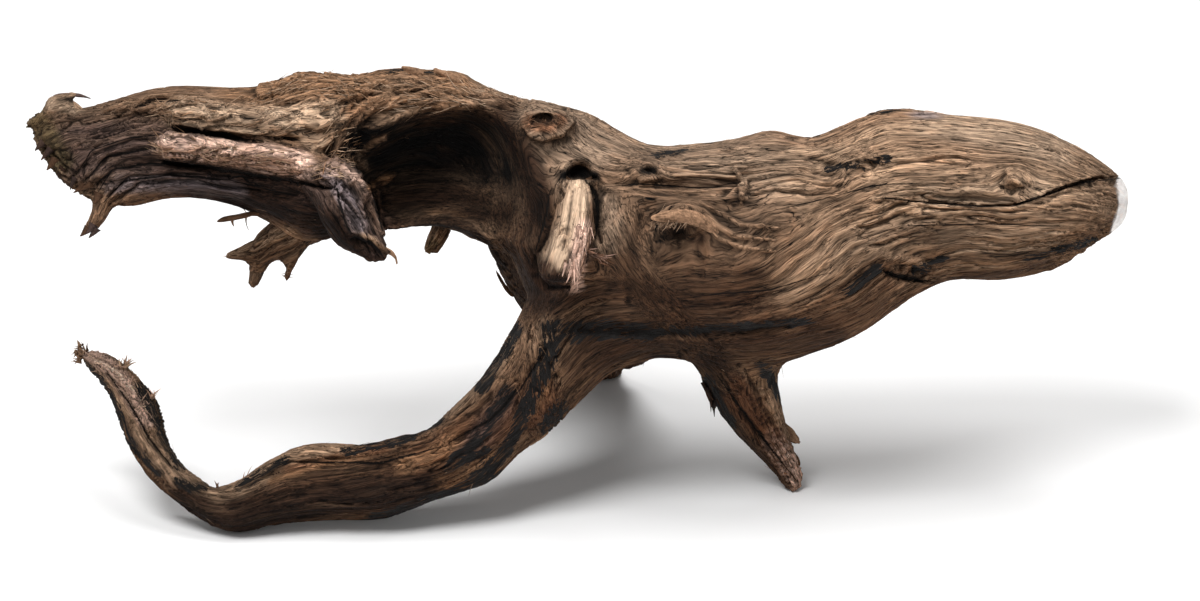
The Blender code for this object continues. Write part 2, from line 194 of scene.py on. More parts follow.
# The grain runs in rings round these: (u, v, radius, swell in millimetres, facing).
KNOTS = [
    (1015, 178, 11, 7, -1), (645, 170, 12, 6, -1), (548, 125, 22, 10, -1), (680, 222, 14, 3, -1),
    (579, 176, 14, 6, -1), (856, 168, 12, 4, -1), (1060, 150, 9, 3, -1),
    (880, 190, 20, 9, 1), (640, 200, 22, 10, 1), (420, 120, 18, 8, 1), (760, 270, 16, 7, 1),
]
# Limbs whose grain runs their own way: (u, v, depth, reach) along each. No depth: at any depth.
LIMBS = [
    [
        (738, 362, 12, 26), (740, 380, 17, 24), (750, 408, 24, 22), (764, 436, 31, 19),
        (776, 452, 35, 16), (788, 470, 39, 14), (798, 496, 43, 12)
    ],
    [
        (590, 270, 62, 50), (592, 310, 76, 50), (600, 336, 100, 42), (606, 356, 124, 32),
        (604, 368, 145, 24), (604, 376, 163, 21), (604, 390, 178, 20)
    ],
    [
        (578, 176, -34, 10), (577, 196, -41, 14), (576, 218, -46, 15), (570, 242, -51, 15),
        (563, 262, -55, 15), (556, 290, -60, 15)
    ],
    [
        (306, 168, -34, 9), (334, 186, -38, 14), (346, 204, -40, 17), (358, 222, -40, 17),
        (366, 236, -39, 16), (376, 250, -38, 13), (392, 266, -38, 10)
    ],
    [
        (316, 220, 16, 12), (296, 228, 21, 15), (274, 240, 26, 15), (258, 250, 30, 14),
        (242, 254, 31, 12), (214, 256, 33, 10)
    ],
    [(260, 252, 31, 8), (256, 264, 33, 11), (250, 278, 35, 10), (246, 292, 36, 9)],
    [(446, 212, 43, 11), (438, 228, 46, 11), (428, 246, 48, 11), (420, 258, 49, 10)],
    [(110, 196, -10, 10), (100, 216, -11, 9), (94, 228, -14, 8), (84, 236, -16, 6)],
    [(604, 190, None, 24), (610, 222, None, 30), (620, 252, None, 30), (642, 280, None, 20)],
    [
        (372, 200, None, 26), (420, 192, None, 30), (460, 194, None, 32), (492, 208, None, 32),
        (514, 232, None, 30), (526, 268, None, 28), (532, 312, None, 22)
    ],
]

# ------------------------------------------------------------------ noise and drawn marks

NOISE_SCALE = 1.6


def noise3(points, seed):
    """Smooth noise, from about -1 to 1, at each row of points."""
    draw = np.random.default_rng(seed)
    order = draw.permutation(256)
    slopes = draw.normal(size=(256, 3)).astype(np.float32)
    slopes /= np.linalg.norm(slopes, axis=1)[:, None]
    cell = np.floor(points).astype(np.int64)
    part = (points - cell).astype(np.float32)
    ease = part**3 * (part * (part * 6 - 15) + 10)
    total = np.zeros(len(points), np.float32)
    for a in (0, 1):
        for b in (0, 1):
            for c in (0, 1):
                x = (cell[:, 0] + a) & 255
                y = (cell[:, 1] + b) & 255
                z = (cell[:, 2] + c) & 255
                slope = slopes[order[(order[(order[x] + y) & 255] + z) & 255]]
                gap = part - np.array([a, b, c], np.float32)
                share = (
                    (ease[:, 0] if a else 1 - ease[:, 0])
                    * (ease[:, 1] if b else 1 - ease[:, 1])
                    * (ease[:, 2] if c else 1 - ease[:, 2])
                )
                total += share * (slope * gap).sum(axis=1)
    return total * NOISE_SCALE


def smooth_step(low, high, values):
    t = np.clip((values - low) / (high - low), 0, 1)
    return t * t * (3 - 2 * t)


def line_gap(points, line, signed=False):
    """How far each point is from a drawn line, and how far along it, from 0 to 1. A signed gap is
    below zero on one side of the line."""
    line = np.array(line, float)
    lengths = np.hypot(*(line[1:] - line[:-1]).T)
    reached = np.concatenate([[0], np.cumsum(lengths)]) / lengths.sum()
    nearest = np.full(len(points), np.inf)
    place = np.zeros(len(points))
    for start, end, first, last in zip(line, line[1:], reached, reached[1:]):
        along = end - start
        share = np.clip((points - start) @ along / (along @ along), 0, 1)
        out = points - start - share[:, None] * along
        gap = np.hypot(*out.T)
        if signed:
            gap = np.where(along[0] * out[:, 1] - along[1] * out[:, 0] < 0, -gap, gap)
        closer = np.abs(gap) < np.abs(nearest)
        nearest = np.where(closer, gap, nearest)
        place = np.where(closer, first + share * (last - first), place)
    return nearest, place


def stroke(points, line, half_width):
    """1 on the middle of a chisel stroke that thins out towards its ends, 0 off it."""
    gap, place = line_gap(points, line)
    width = half_width * (0.45 + 0.55 * np.sin(np.pi * place))
    return np.clip(1 - (gap / width) ** 2, 0, 1) ** 1.5


def ledge(points, line, half_width):
    """1 on a raised bar with a sharp near end and steep sides, fading out at its far end."""
    gap, place = line_gap(points, line)
    return (1 - smooth_step(0.82, 1.12, gap / half_width)) * (1 - smooth_step(0.55, 1.0, place))


def patch(points, line, half_width):
    """1 on a drawn line, falling to 0.5 at its half width and 0 at one and a half of it."""
    gap, _ = line_gap(points, line)
    return 1 - smooth_step(0.5, 1.5, gap / half_width)


# ------------------------------------------------------------------ how the grain runs

GRID_STEP = 5
GRID_START = (-40, 20)
GRID_SIZE = (250, 115)
# How loosely the grain keeps to its drawn lines.
GRAIN_SLACK = 4


def grain_grid():
    """Places along and across the grain, in millimetres, at each corner of a grid on the sheet."""
    knots = []
    values = []
    for across, along, line in GRAIN_LINES:
        for i, point in enumerate(line):
            if i:
                along += math.hypot(point[0] - line[i - 1][0], point[1] - line[i - 1][1]) / 2
            knots.append(point)
            values.append((along, across))
    knots = np.array(knots, float)
    count = len(knots)
    gaps = np.hypot(*(knots[:, None] - knots[None]).transpose(2, 0, 1))
    plane = np.column_stack([np.ones(count), knots])
    system = np.zeros((count + 3, count + 3))
    system[:count, :count] = gaps - np.eye(count) * GRAIN_SLACK
    system[:count, count:] = plane
    system[count:, :count] = plane.T
    weights = np.linalg.solve(system, np.vstack([np.array(values, float), np.zeros((3, 2))]))
    us = GRID_START[0] + GRID_STEP * np.arange(GRID_SIZE[0])
    vs = GRID_START[1] + GRID_STEP * np.arange(GRID_SIZE[1])
    corners = np.stack(np.meshgrid(us, vs, indexing="ij"), axis=-1).reshape(-1, 2)
    reach = np.hypot(*(corners[:, None] - knots[None]).transpose(2, 0, 1))
    tilt = np.column_stack([np.ones(len(corners)), corners]) @ weights[count:]
    found = reach @ weights[:count] + tilt
    return found.reshape(GRID_SIZE[0], GRID_SIZE[1], 2)


GRID = grain_grid()


def grid_at(sheet):
    place = (sheet[:, :2] - GRID_START) / GRID_STEP
    cell = np.clip(np.floor(place).astype(int), 0, np.array(GRID_SIZE) - 2)
    part = np.clip(place - cell, 0, 1)
    i, j = cell.T
    a, b = part[:, :1], part[:, 1:]
    low = GRID[i, j] * (1 - a) + GRID[i + 1, j] * a
    high = GRID[i, j + 1] * (1 - a) + GRID[i + 1, j + 1] * a
    return low * (1 - b) + high * b


# How thick the wood is along u: its middle in depth and half its thickness, in millimetres.
TRUNK_DEPTH = [
    (30, -12, 4), (50, -11, 6), (75, -9, 9), (100, -8, 12), (130, -7, 14), (160, -6, 17),
    (200, -6, 20), (240, -6, 24), (300, -4, 29), (340, 0, 32), (400, 6, 35), (450, 9, 36),
    (500, 12, 39), (540, 9, 43), (600, 5, 48), (660, 5, 50), (760, 4, 51), (850, 4, 48),
    (950, 5, 43), (1000, 6, 41), (1040, 6, 39), (1075, 7, 34), (1100, 8, 27), (1120, 8, 16),
    (1130, 8, 9),
]
ROOT_DEPTH = [
    (66, 19, 3), (80, 17, 4), (100, 13, 6.5), (120, 9, 8), (140, 6, 9), (160, 3, 10),
    (180, 0, 10.5), (195, -2, 11), (210, -3, 12), (232, -3, 14), (258, -2, 15.5), (300, 0, 17),
    (360, 0, 18.5), (430, 0, 19), (480, 0, 21), (510, 0, 24), (545, 0, 30), (600, 2, 44),
]
FULL_DEPTH = 40
ROOT_BELOW = 300


def even_depth(sheet):
    """Depth measured so that the front and the back of every limb are as deep as the trunk's."""
    u, v, depth = sheet.T
    root = smooth_step(-10, 10, v - ROOT_BELOW) * (1 - smooth_step(540, 600, u))
    made = np.zeros(len(sheet))
    for table, share in ((TRUNK_DEPTH, 1 - root), (ROOT_DEPTH, root)):
        us, middles, halves = np.array(table, float).T
        made += share * (depth - np.interp(u, us, middles)) / np.interp(u, us, halves)
    return made * FULL_DEPTH


def main_grain(sheet):
    """(along, across, depth) of the trunk's own grain, in millimetres."""
    field = grid_at(sheet)
    across = field[:, 1].copy()
    for u, v, radius, swell, facing in KNOTS:
        near = ((sheet[:, 0] - u) ** 2 + (sheet[:, 1] - v) ** 2) / radius**2
        side = smooth_step(-6, 6, facing * (sheet[:, 2] - 5))
        across += swell * side * np.exp(-near / 2)
    drift = np.stack([sheet[:, 0] / 60, sheet[:, 1] / 44, sheet[:, 2] / 24], axis=1)
    across += 2.2 * noise3(drift, 11) + 0.5 * noise3(drift * 3.1, 12)
    depth = even_depth(sheet) + 2.2 * noise3(drift, 13)
    return np.stack([field[:, 0], across, depth], axis=1)


# Each limb's grain starts this many millimetres further along, so that no two look alike.
LIMB_SHIFT = 170


def limb_grain(sheet):
    """(along, across, depth) of the nearest side limb's grain, and that limb's share."""
    count = len(sheet)
    share = np.zeros(count)
    grain = np.zeros((count, 3))
    for number, limb in enumerate(LIMBS):
        flat = limb[0][2] is None
        line = np.array([(u / 2, v / 2, depth or 0, reach) for u, v, depth, reach in limb])
        if flat:
            line[:, 3] /= 2
        spine = line[:, :3]
        points = np.column_stack([sheet[:, :2] / 2, np.zeros(count) if flat else sheet[:, 2]])
        steps = np.linalg.norm(spine[1:] - spine[:-1], axis=1)
        reached = np.concatenate([[0], np.cumsum(steps)])
        nearest = np.full(count, np.inf)
        here = np.zeros((count, 3))
        for i, step in enumerate(steps):
            along = (spine[i + 1] - spine[i]) / step
            place = (points - spine[i]) @ along
            first = -np.inf if i == 0 else 0
            last = np.inf if i == len(steps) - 1 else step
            inside = np.clip(place, first, last)
            out = points - spine[i] - inside[:, None] * along
            gap = np.linalg.norm(out, axis=1)
            reach = np.interp(inside, [0, step], line[i : i + 2, 3])
            ratio = gap / reach
            closer = ratio < nearest
            side = np.array([along[1], -along[0], 0])
            side /= np.linalg.norm(side)
            depth = out[:, 2] if not flat else sheet[:, 2]
            made = np.column_stack([reached[i] + inside, out @ side, depth])
            if not flat:
                made[:, 1:] *= (line[:, 3].max() / reach)[:, None]
            here[closer] = made[closer]
            nearest = np.where(closer, ratio, nearest)
        weight = 1 - (smooth_step(0.3, 1.35, nearest) if flat else smooth_step(0.8, 1.15, nearest))
        weight *= smooth_step(-2, 10, here[:, 0])
        here[:, 0] += LIMB_SHIFT * (number + 1)
        stronger = weight > share
        grain[stronger] = here[stronger]
        share = np.maximum(share, weight)
    drift = sheet / np.array([30, 30, 15])
    grain[:, 1] += 0.8 * noise3(drift, 21)
    return grain, share


class Grain:
    """What every mark on the wood is drawn from."""

    def __init__(self, points, normals):
        self.sheet = to_sheet(points)
        self.facing = -(normals @ TOWARD_VIEWER)
        self.upward = normals[:, 2]
        self.main = main_grain(self.sheet)
        self.limb, self.share = limb_grain(self.sheet)
        self.front = 1 - smooth_step(-0.15, 0.25, self.facing)

    def noise(self, along, across, seed):
        """Noise drawn out along the grain, of these sizes in millimetres."""
        size = np.array([along, across, across])
        made = noise3(self.main / size, seed)
        near = np.flatnonzero(self.share > 0.01)
        share = self.share[near]
        made[near] = made[near] * (1 - share) + noise3(self.limb[near] / size, seed) * share
        return made

    def stroke(self, line, half_width, facing=-1):
        side = self.front if facing < 0 else 1 - self.front
        return stroke(self.sheet[:, :2], line, half_width) * side

    def ledge(self, line, half_width):
        return ledge(self.sheet[:, :2], line, half_width) * self.front

    def patch(self, line, half_width, facing=-1):
        made = patch(self.sheet[:, :2], line, half_width)
        if facing:
            made = made * (self.front if facing < 0 else 1 - self.front)
        return made


# ------------------------------------------------------------------ relief of the wood

# Drawn line, half width in half millimetres and rise in millimetres.
GROOVES = [
    (
        [(885, 198), (930, 202), (980, 206), (1010, 206), (1040, 196), (1080, 182), (1128, 178)],
        7, 2.6
    ),
    (
        [(885, 198), (930, 202), (980, 206), (1010, 206), (1030, 200), (1060, 188), (1080, 182),
        (1122, 177)], 2.2, -3.2
    ),
    ([(1015, 206), (1045, 194), (1080, 182), (1100, 178), (1128, 177)], 2.8, -3.2),
    ([(590, 178), (597, 200), (598, 225), (601, 242)], 4.5, -3.2),
    ([(628, 168), (638, 177), (655, 179), (668, 172)], 4.5, 1.3),
    ([(606, 188), (640, 190), (700, 191), (744, 186)], 9, 2.0),
    ([(640, 187), (690, 188), (738, 186)], 3.5, -1.6),
    ([(564, 176), (579, 171), (595, 178)], 7, -4.5),
    ([(634, 172), (648, 169), (662, 171)], 9, 1.5),
    ([(566, 184), (555, 215), (538, 252)], 4.5, -2.2),
    ([(534, 256), (535, 276), (546, 288), (568, 288)], 4.5, -2.6),
    ([(664, 233), (680, 236), (694, 232)], 10, 1.9),
    ([(640, 181), (690, 175), (741, 177)], 5, 1.3),
    ([(645, 199), (690, 201), (742, 197)], 5, 1.3),
    ([(736, 170), (743, 184), (741, 204)], 5, 1.4),
    (
        [(652, 216), (665, 208), (685, 204), (704, 211), (717, 226), (735, 236), (775, 240)], 4.5,
        1.3
    ),
    ([(700, 203), (722, 213), (740, 224), (780, 228)], 3.5, 1.0),
    ([(704, 222), (718, 238), (740, 247), (775, 251)], 3.5, 1.0),
    ([(523, 126), (530, 134), (545, 138), (560, 134), (573, 122), (568, 110)], 4.5, 1.8),
    ([(530, 122), (545, 124), (560, 120)], 8, 0.9),
    ([(640, 215), (633, 260), (628, 302)], 11, -1.2),
    ([(702, 236), (701, 275)], 9, -0.5),
    ([(555, 331), (600, 329), (650, 333), (720, 335), (790, 327)], 6, -1.2),
    ([(1010, 172), (1018, 182)], 12, 2.2),
    ([(1000, 186), (1012, 192), (1024, 188)], 5, -1.6),
    ([(735, 168), (775, 158), (800, 150), (835, 160), (870, 168)], 7, 1.4),
    ([(800, 170), (840, 176), (872, 168)], 5, -1.6),
    ([(885, 270), (900, 277), (925, 281)], 5, -3.0),
    ([(172, 129), (200, 132), (235, 138), (262, 141)], 5.5, -4.2),
    ([(163, 161), (220, 171), (290, 181), (335, 190)], 5.5, -3.2),
    ([(200, 166), (150, 163), (116, 168), (96, 186)], 3.4, -1.8),
    ([(230, 178), (170, 174), (130, 178), (108, 196)], 3.4, -1.9),
    ([(200, 153), (150, 148), (110, 156), (86, 180)], 3.4, -1.5),
    ([(260, 190), (180, 182), (140, 184), (116, 202)], 3.4, -1.7),
    ([(175, 139), (130, 140), (92, 156), (70, 180)], 3.4, -1.3),
    ([(135, 107), (150, 101), (176, 98)], 5, -3.2),
    ([(345, 152), (370, 131), (400, 117), (440, 108), (480, 104), (515, 104)], 6, 2.2),
    ([(400, 105), (440, 96), (490, 98), (530, 104)], 3.4, -1.9),
    ([(410, 93), (450, 84), (490, 90), (530, 100)], 3.4, -1.9),
    ([(430, 82), (470, 80), (510, 96)], 3.2, -1.5),
    ([(330, 165), (350, 180), (368, 205), (384, 235)], 4.5, 1.8),
    ([(340, 163), (362, 185), (378, 210), (390, 242)], 4, -2.4),
    ([(322, 178), (345, 200), (358, 230), (370, 256)], 4.5, -2.4),
    ([(324, 168), (345, 172)], 9, 1.8),
    ([(336, 183), (339, 191)], 5, -3.0),
    ([(352, 187), (357, 200)], 6.5, -3.8),
    ([(367, 193), (369, 201)], 5, -3.0),
    ([(340, 184), (341, 200), (343, 216)], 3.5, 1.8),
    ([(378, 190), (381, 216)], 3, 1.6),
    ([(350, 230), (373, 239), (387, 253)], 4, 1.8),
    ([(352, 240), (370, 249), (380, 260)], 6, -2.4),
    ([(372, 186), (382, 180), (394, 174)], 7, 2.0),
    ([(361, 152), (372, 144), (385, 136)], 5, 2.6),
    ([(358, 160), (366, 168)], 8, 2.0),
    ([(604, 200), (611, 222), (606, 245)], 12, 1.2),
    ([(545, 350), (520, 390), (490, 420), (450, 442)], 7, -1.9),
    ([(500, 378), (478, 405), (445, 428), (400, 446)], 4.5, 1.4),
    ([(470, 404), (430, 440), (380, 452), (300, 462)], 4, -1.7),
    ([(108, 374), (130, 404), (150, 440), (172, 467)], 5, -1.8),
    ([(284, 462), (242, 484), (215, 493), (180, 480)], 5, 1.2),
    ([(720, 375), (740, 410), (770, 450), (796, 482)], 4.5, -1.9),
    ([(745, 370), (762, 405), (782, 442)], 4, -1.7),
    ([(560, 190), (556, 225), (545, 262)], 5, -1.8),
    ([(572, 190), (568, 225), (562, 250)], 3, -1.0),
]
BACK_GROOVES = [
    ([(560, 160), (640, 168), (720, 172), (800, 186)], 6, -2.0),
    ([(700, 230), (780, 236), (860, 222), (940, 216)], 5, -2.2),
    ([(900, 160), (960, 168), (1040, 182)], 4, -1.8),
    ([(250, 120), (320, 112), (400, 104), (480, 112)], 5, -2.0),
    ([(520, 340), (470, 400), (400, 446), (300, 466)], 5, -1.8),
    ([(840, 150), (880, 190), (860, 240)], 6, 1.6),
    ([(640, 290), (740, 300), (830, 290)], 6, -1.8),
]
# Where the wood is torn into coarse fibres, and where it is worn smooth.
TORN = [
    ([(180, 112), (240, 122), (300, 128)], 16),
    ([(172, 144), (230, 150), (300, 158)], 12),
    ([(300, 96), (330, 130), (350, 150)], 24),
    ([(290, 84), (360, 88), (450, 92)], 20),
    ([(105, 364), (130, 390), (142, 412)], 9),
    ([(560, 230), (575, 262)], 9),
    ([(760, 400), (790, 470)], 12),
]
WORN = [
    ([(545, 200), (540, 260), (545, 300)], 22),
    ([(612, 205), (640, 280), (700, 250)], 36),
    ([(608, 200), (624, 240), (640, 275)], 26),
    ([(400, 200), (450, 190), (500, 210)], 26),
    ([(560, 160), (600, 150), (640, 160)], 16),
    ([(578, 185), (572, 215), (558, 255)], 12),
]


# Open cracks, painted near-black inside as painted shade and given a sunken bump: drawn line and
# half width in millimetres.
CRACKS = [
    (
        [(885, 198), (930, 203), (980, 206), (1012, 206), (1040, 197), (1080, 183), (1128, 177)],
        0.75
    ),
    ([(585, 180), (595, 192), (598, 214), (596, 236)], 1.3),
    ([(172, 128), (200, 132), (235, 138), (262, 141)], 1.6),
    ([(163, 160), (220, 170), (290, 181), (335, 190)], 1.0),
    ([(604, 187), (640, 184), (700, 188), (742, 186)], 0.6),
    ([(677, 299), (720, 294), (770, 290), (830, 272)], 0.4),
    ([(888, 273), (905, 278), (924, 281)], 1.6),
    ([(98, 192), (112, 170), (150, 163), (210, 166), (262, 177)], 0.7),
    ([(104, 202), (124, 181), (170, 175), (230, 180), (300, 197)], 0.7),
    ([(88, 178), (106, 157), (150, 149), (160, 149)], 0.6),
    ([(78, 172), (92, 150), (130, 138), (165, 134)], 0.5),
    ([(136, 107), (152, 101), (178, 100)], 1.5),
    ([(108, 374), (130, 404), (150, 440), (172, 467)], 0.8),
    ([(290, 462), (380, 463), (440, 447)], 0.7),
    ([(545, 350), (520, 390), (490, 420), (450, 442)], 0.7),
    ([(336, 180), (339, 200), (345, 222), (356, 240)], 0.8),
    ([(372, 190), (378, 215), (384, 236)], 0.7),
    ([(352, 236), (373, 244), (384, 258)], 1.1),
    ([(718, 376), (742, 410), (772, 450), (796, 480)], 0.7),
    ([(550, 190), (545, 220), (536, 250)], 0.7),
    ([(760, 214), (820, 200), (880, 184), (960, 184)], 0.4),
    ([(860, 240), (900, 226), (990, 224), (1060, 226)], 0.4),
    ([(576, 226), (582, 244), (588, 256)], 0.9),
]


# Off every crack, in half widths, and where a crack's own shading ends, in half millimetres.
NO_CRACK = 50.0
CRACK_REACH = (4, 7)


def crack_place(grain):
    """Where each point is across the nearest crack, in its half widths, and 1 close to a crack."""
    across = np.full(len(grain.sheet), NO_CRACK)
    near = np.zeros(len(grain.sheet))
    for line, half_width in CRACKS:
        gap, place = line_gap(grain.sheet[:, :2], line, True)
        width = half_width * (0.3 + 0.7 * np.sin(np.pi * place)) * 2
        closer = np.abs(gap / width) < np.abs(across)
        across = np.where(closer, gap / width, across)
        near = np.maximum(near, 1 - smooth_step(*CRACK_REACH, np.abs(gap)))
    return np.column_stack([across, near * grain.front, np.zeros(len(near))])


# Drawn line from its sharp end, half width in half millimetres and rise in millimetres.
LEDGES = [
    ([(185, 115), (240, 121), (290, 122), (330, 118)], 13, 2.6),
    ([(174, 146), (230, 153), (290, 165), (350, 182)], 12.5, 2.8),
    ([(340, 152), (348, 122), (372, 104), (430, 94), (500, 96)], 8, 2.4),
    ([(326, 100), (360, 88), (420, 84), (480, 90)], 7, 1.8),
    ([(322, 172), (344, 172), (362, 190), (374, 220)], 8, 2.2),
    ([(262, 92), (300, 82), (340, 80), (380, 76)], 6, 1.5),
    ([(120, 112), (150, 106), (200, 103)], 4, 1.4),
    ([(744, 196), (742, 176), (790, 168), (840, 176)], 5, 1.3),
]
# Where the wood is knotted and knobbly.
GNARLED = [
    ([(326, 170), (352, 190), (368, 215), (382, 248)], 20, 1.7),
    ([(530, 122), (560, 122)], 12, 1.2),
    ([(580, 168), (566, 178)], 8, 1.0),
    ([(885, 290), (905, 300)], 14, 1.0),
    ([(36, 125), (52, 150)], 12, 0.9),
    ([(385, 470), (410, 478)], 10, 1.0),
    ([(700, 378), (704, 405)], 8, 1.6),
    ([(790, 440), (798, 488)], 9, 1.6),
]
SAWN_END = [(1124, 182), (1127, 206), (1119, 232)]
SAWN_WIDTH = 8
SAWN_FROM = 1100
SAWN_EDGE = (0.35, 0.6)
# The front stub, whose wood is paler and plainer.
STUB = [(579, 188), (573, 216), (562, 244), (553, 262)]
STUB_WIDTH = 12


def relief(grain):
    """How far each point of the surface stands out, in millimetres."""
    torn = np.max([grain.patch(line, width) for line, width in TORN], axis=0)
    worn = np.max([grain.patch(line, width) for line, width in WORN], axis=0)
    strength = (1 - 0.6 * worn) * (0.85 + 0.5 * np.clip(grain.noise(90, 40, 30), -0.6, 1))
    rise = 0.8 * grain.noise(60, 13, 31)
    rise += 1.15 * strength * (np.abs(grain.noise(60, 5.5, 32)) - 0.25)
    rise += 1.05 * strength * (np.abs(grain.noise(46, 2.7, 33)) - 0.25)
    rise += 0.4 * strength * grain.noise(28, 1.4, 34)
    split = grain.noise(66, 4.4, 35)
    open_here = smooth_step(0.08, 0.28, grain.noise(80, 16, 36))
    rise -= 1.8 * (1 - worn) * open_here * np.exp(-((split / 0.1) ** 2))
    check = grain.noise(34, 2.6, 40)
    checked = smooth_step(0.0, 0.3, grain.noise(40, 9, 41))
    rise -= 0.9 * strength * checked * np.exp(-((check / 0.13) ** 2))
    steps = np.floor(
        grain.main[:, 0] / 13 + 2.2 * noise3(grain.main / np.array([400, 2.6, 2.6]), 37)
    )
    shreds = np.stack([steps * 5.37, grain.main[:, 1] / 2.3, grain.main[:, 2] / 2.3], axis=1)
    rise += torn * (1.5 * noise3(shreds, 38) + 0.9 * grain.noise(30, 1.9, 39))
    for line, width, height in GROOVES:
        rise += height * grain.stroke(line, width)
    for line, width, height in BACK_GROOVES:
        rise += height * grain.stroke(line, width, 1)
    for line, width, height in LEDGES:
        rise += height * grain.ledge(line, width)
    knobs = grain.noise(11, 5, 42) + 0.6 * grain.noise(6, 2.6, 43)
    for line, width, height in GNARLED:
        rise += height * grain.patch(line, width) * knobs
    return rise * (1 - 0.85 * grain.patch(SAWN_END, SAWN_WIDTH, 0))


# ------------------------------------------------------------------ colours of the wood and painted shade


def paint(red, green, blue):
    """A colour given as on a screen, from 0 to 255, as the light that it sends back."""
    share = np.array([red, green, blue]) / 255
    return np.where(share <= 0.04045, share / 12.92, ((share + 0.055) / 1.055) ** 2.4)


TAN = paint(168, 138, 112)
PALE_TAN = paint(196, 168, 142)
BROWN = paint(132, 102, 79)
GREY_BROWN = paint(140, 118, 99)
DARK_BROWN = paint(76, 53, 37)
RED_BROWN = paint(118, 79, 55)
ORANGE_TAN = paint(158, 118, 86)
PLUM_BROWN = paint(84, 67, 62)
SOOT = paint(26, 23, 22)
PALE_SOOT = paint(35, 33, 32)
SHADE_BROWN = paint(48, 31, 21)
PINK_WOOD = paint(196, 158, 140)
RAW_PINK = paint(232, 194, 174)
LAVENDER = paint(132, 120, 122)
SAWN_PALE = paint(244, 239, 236)
MOSS = paint(96, 86, 52)
# Near-black painted shade for holes, pits and open cracks, and for the hollow under the arch, where
# it is partly the dark wood inside.
HOLLOW_SHADE_BLACK = paint(13, 9, 7)
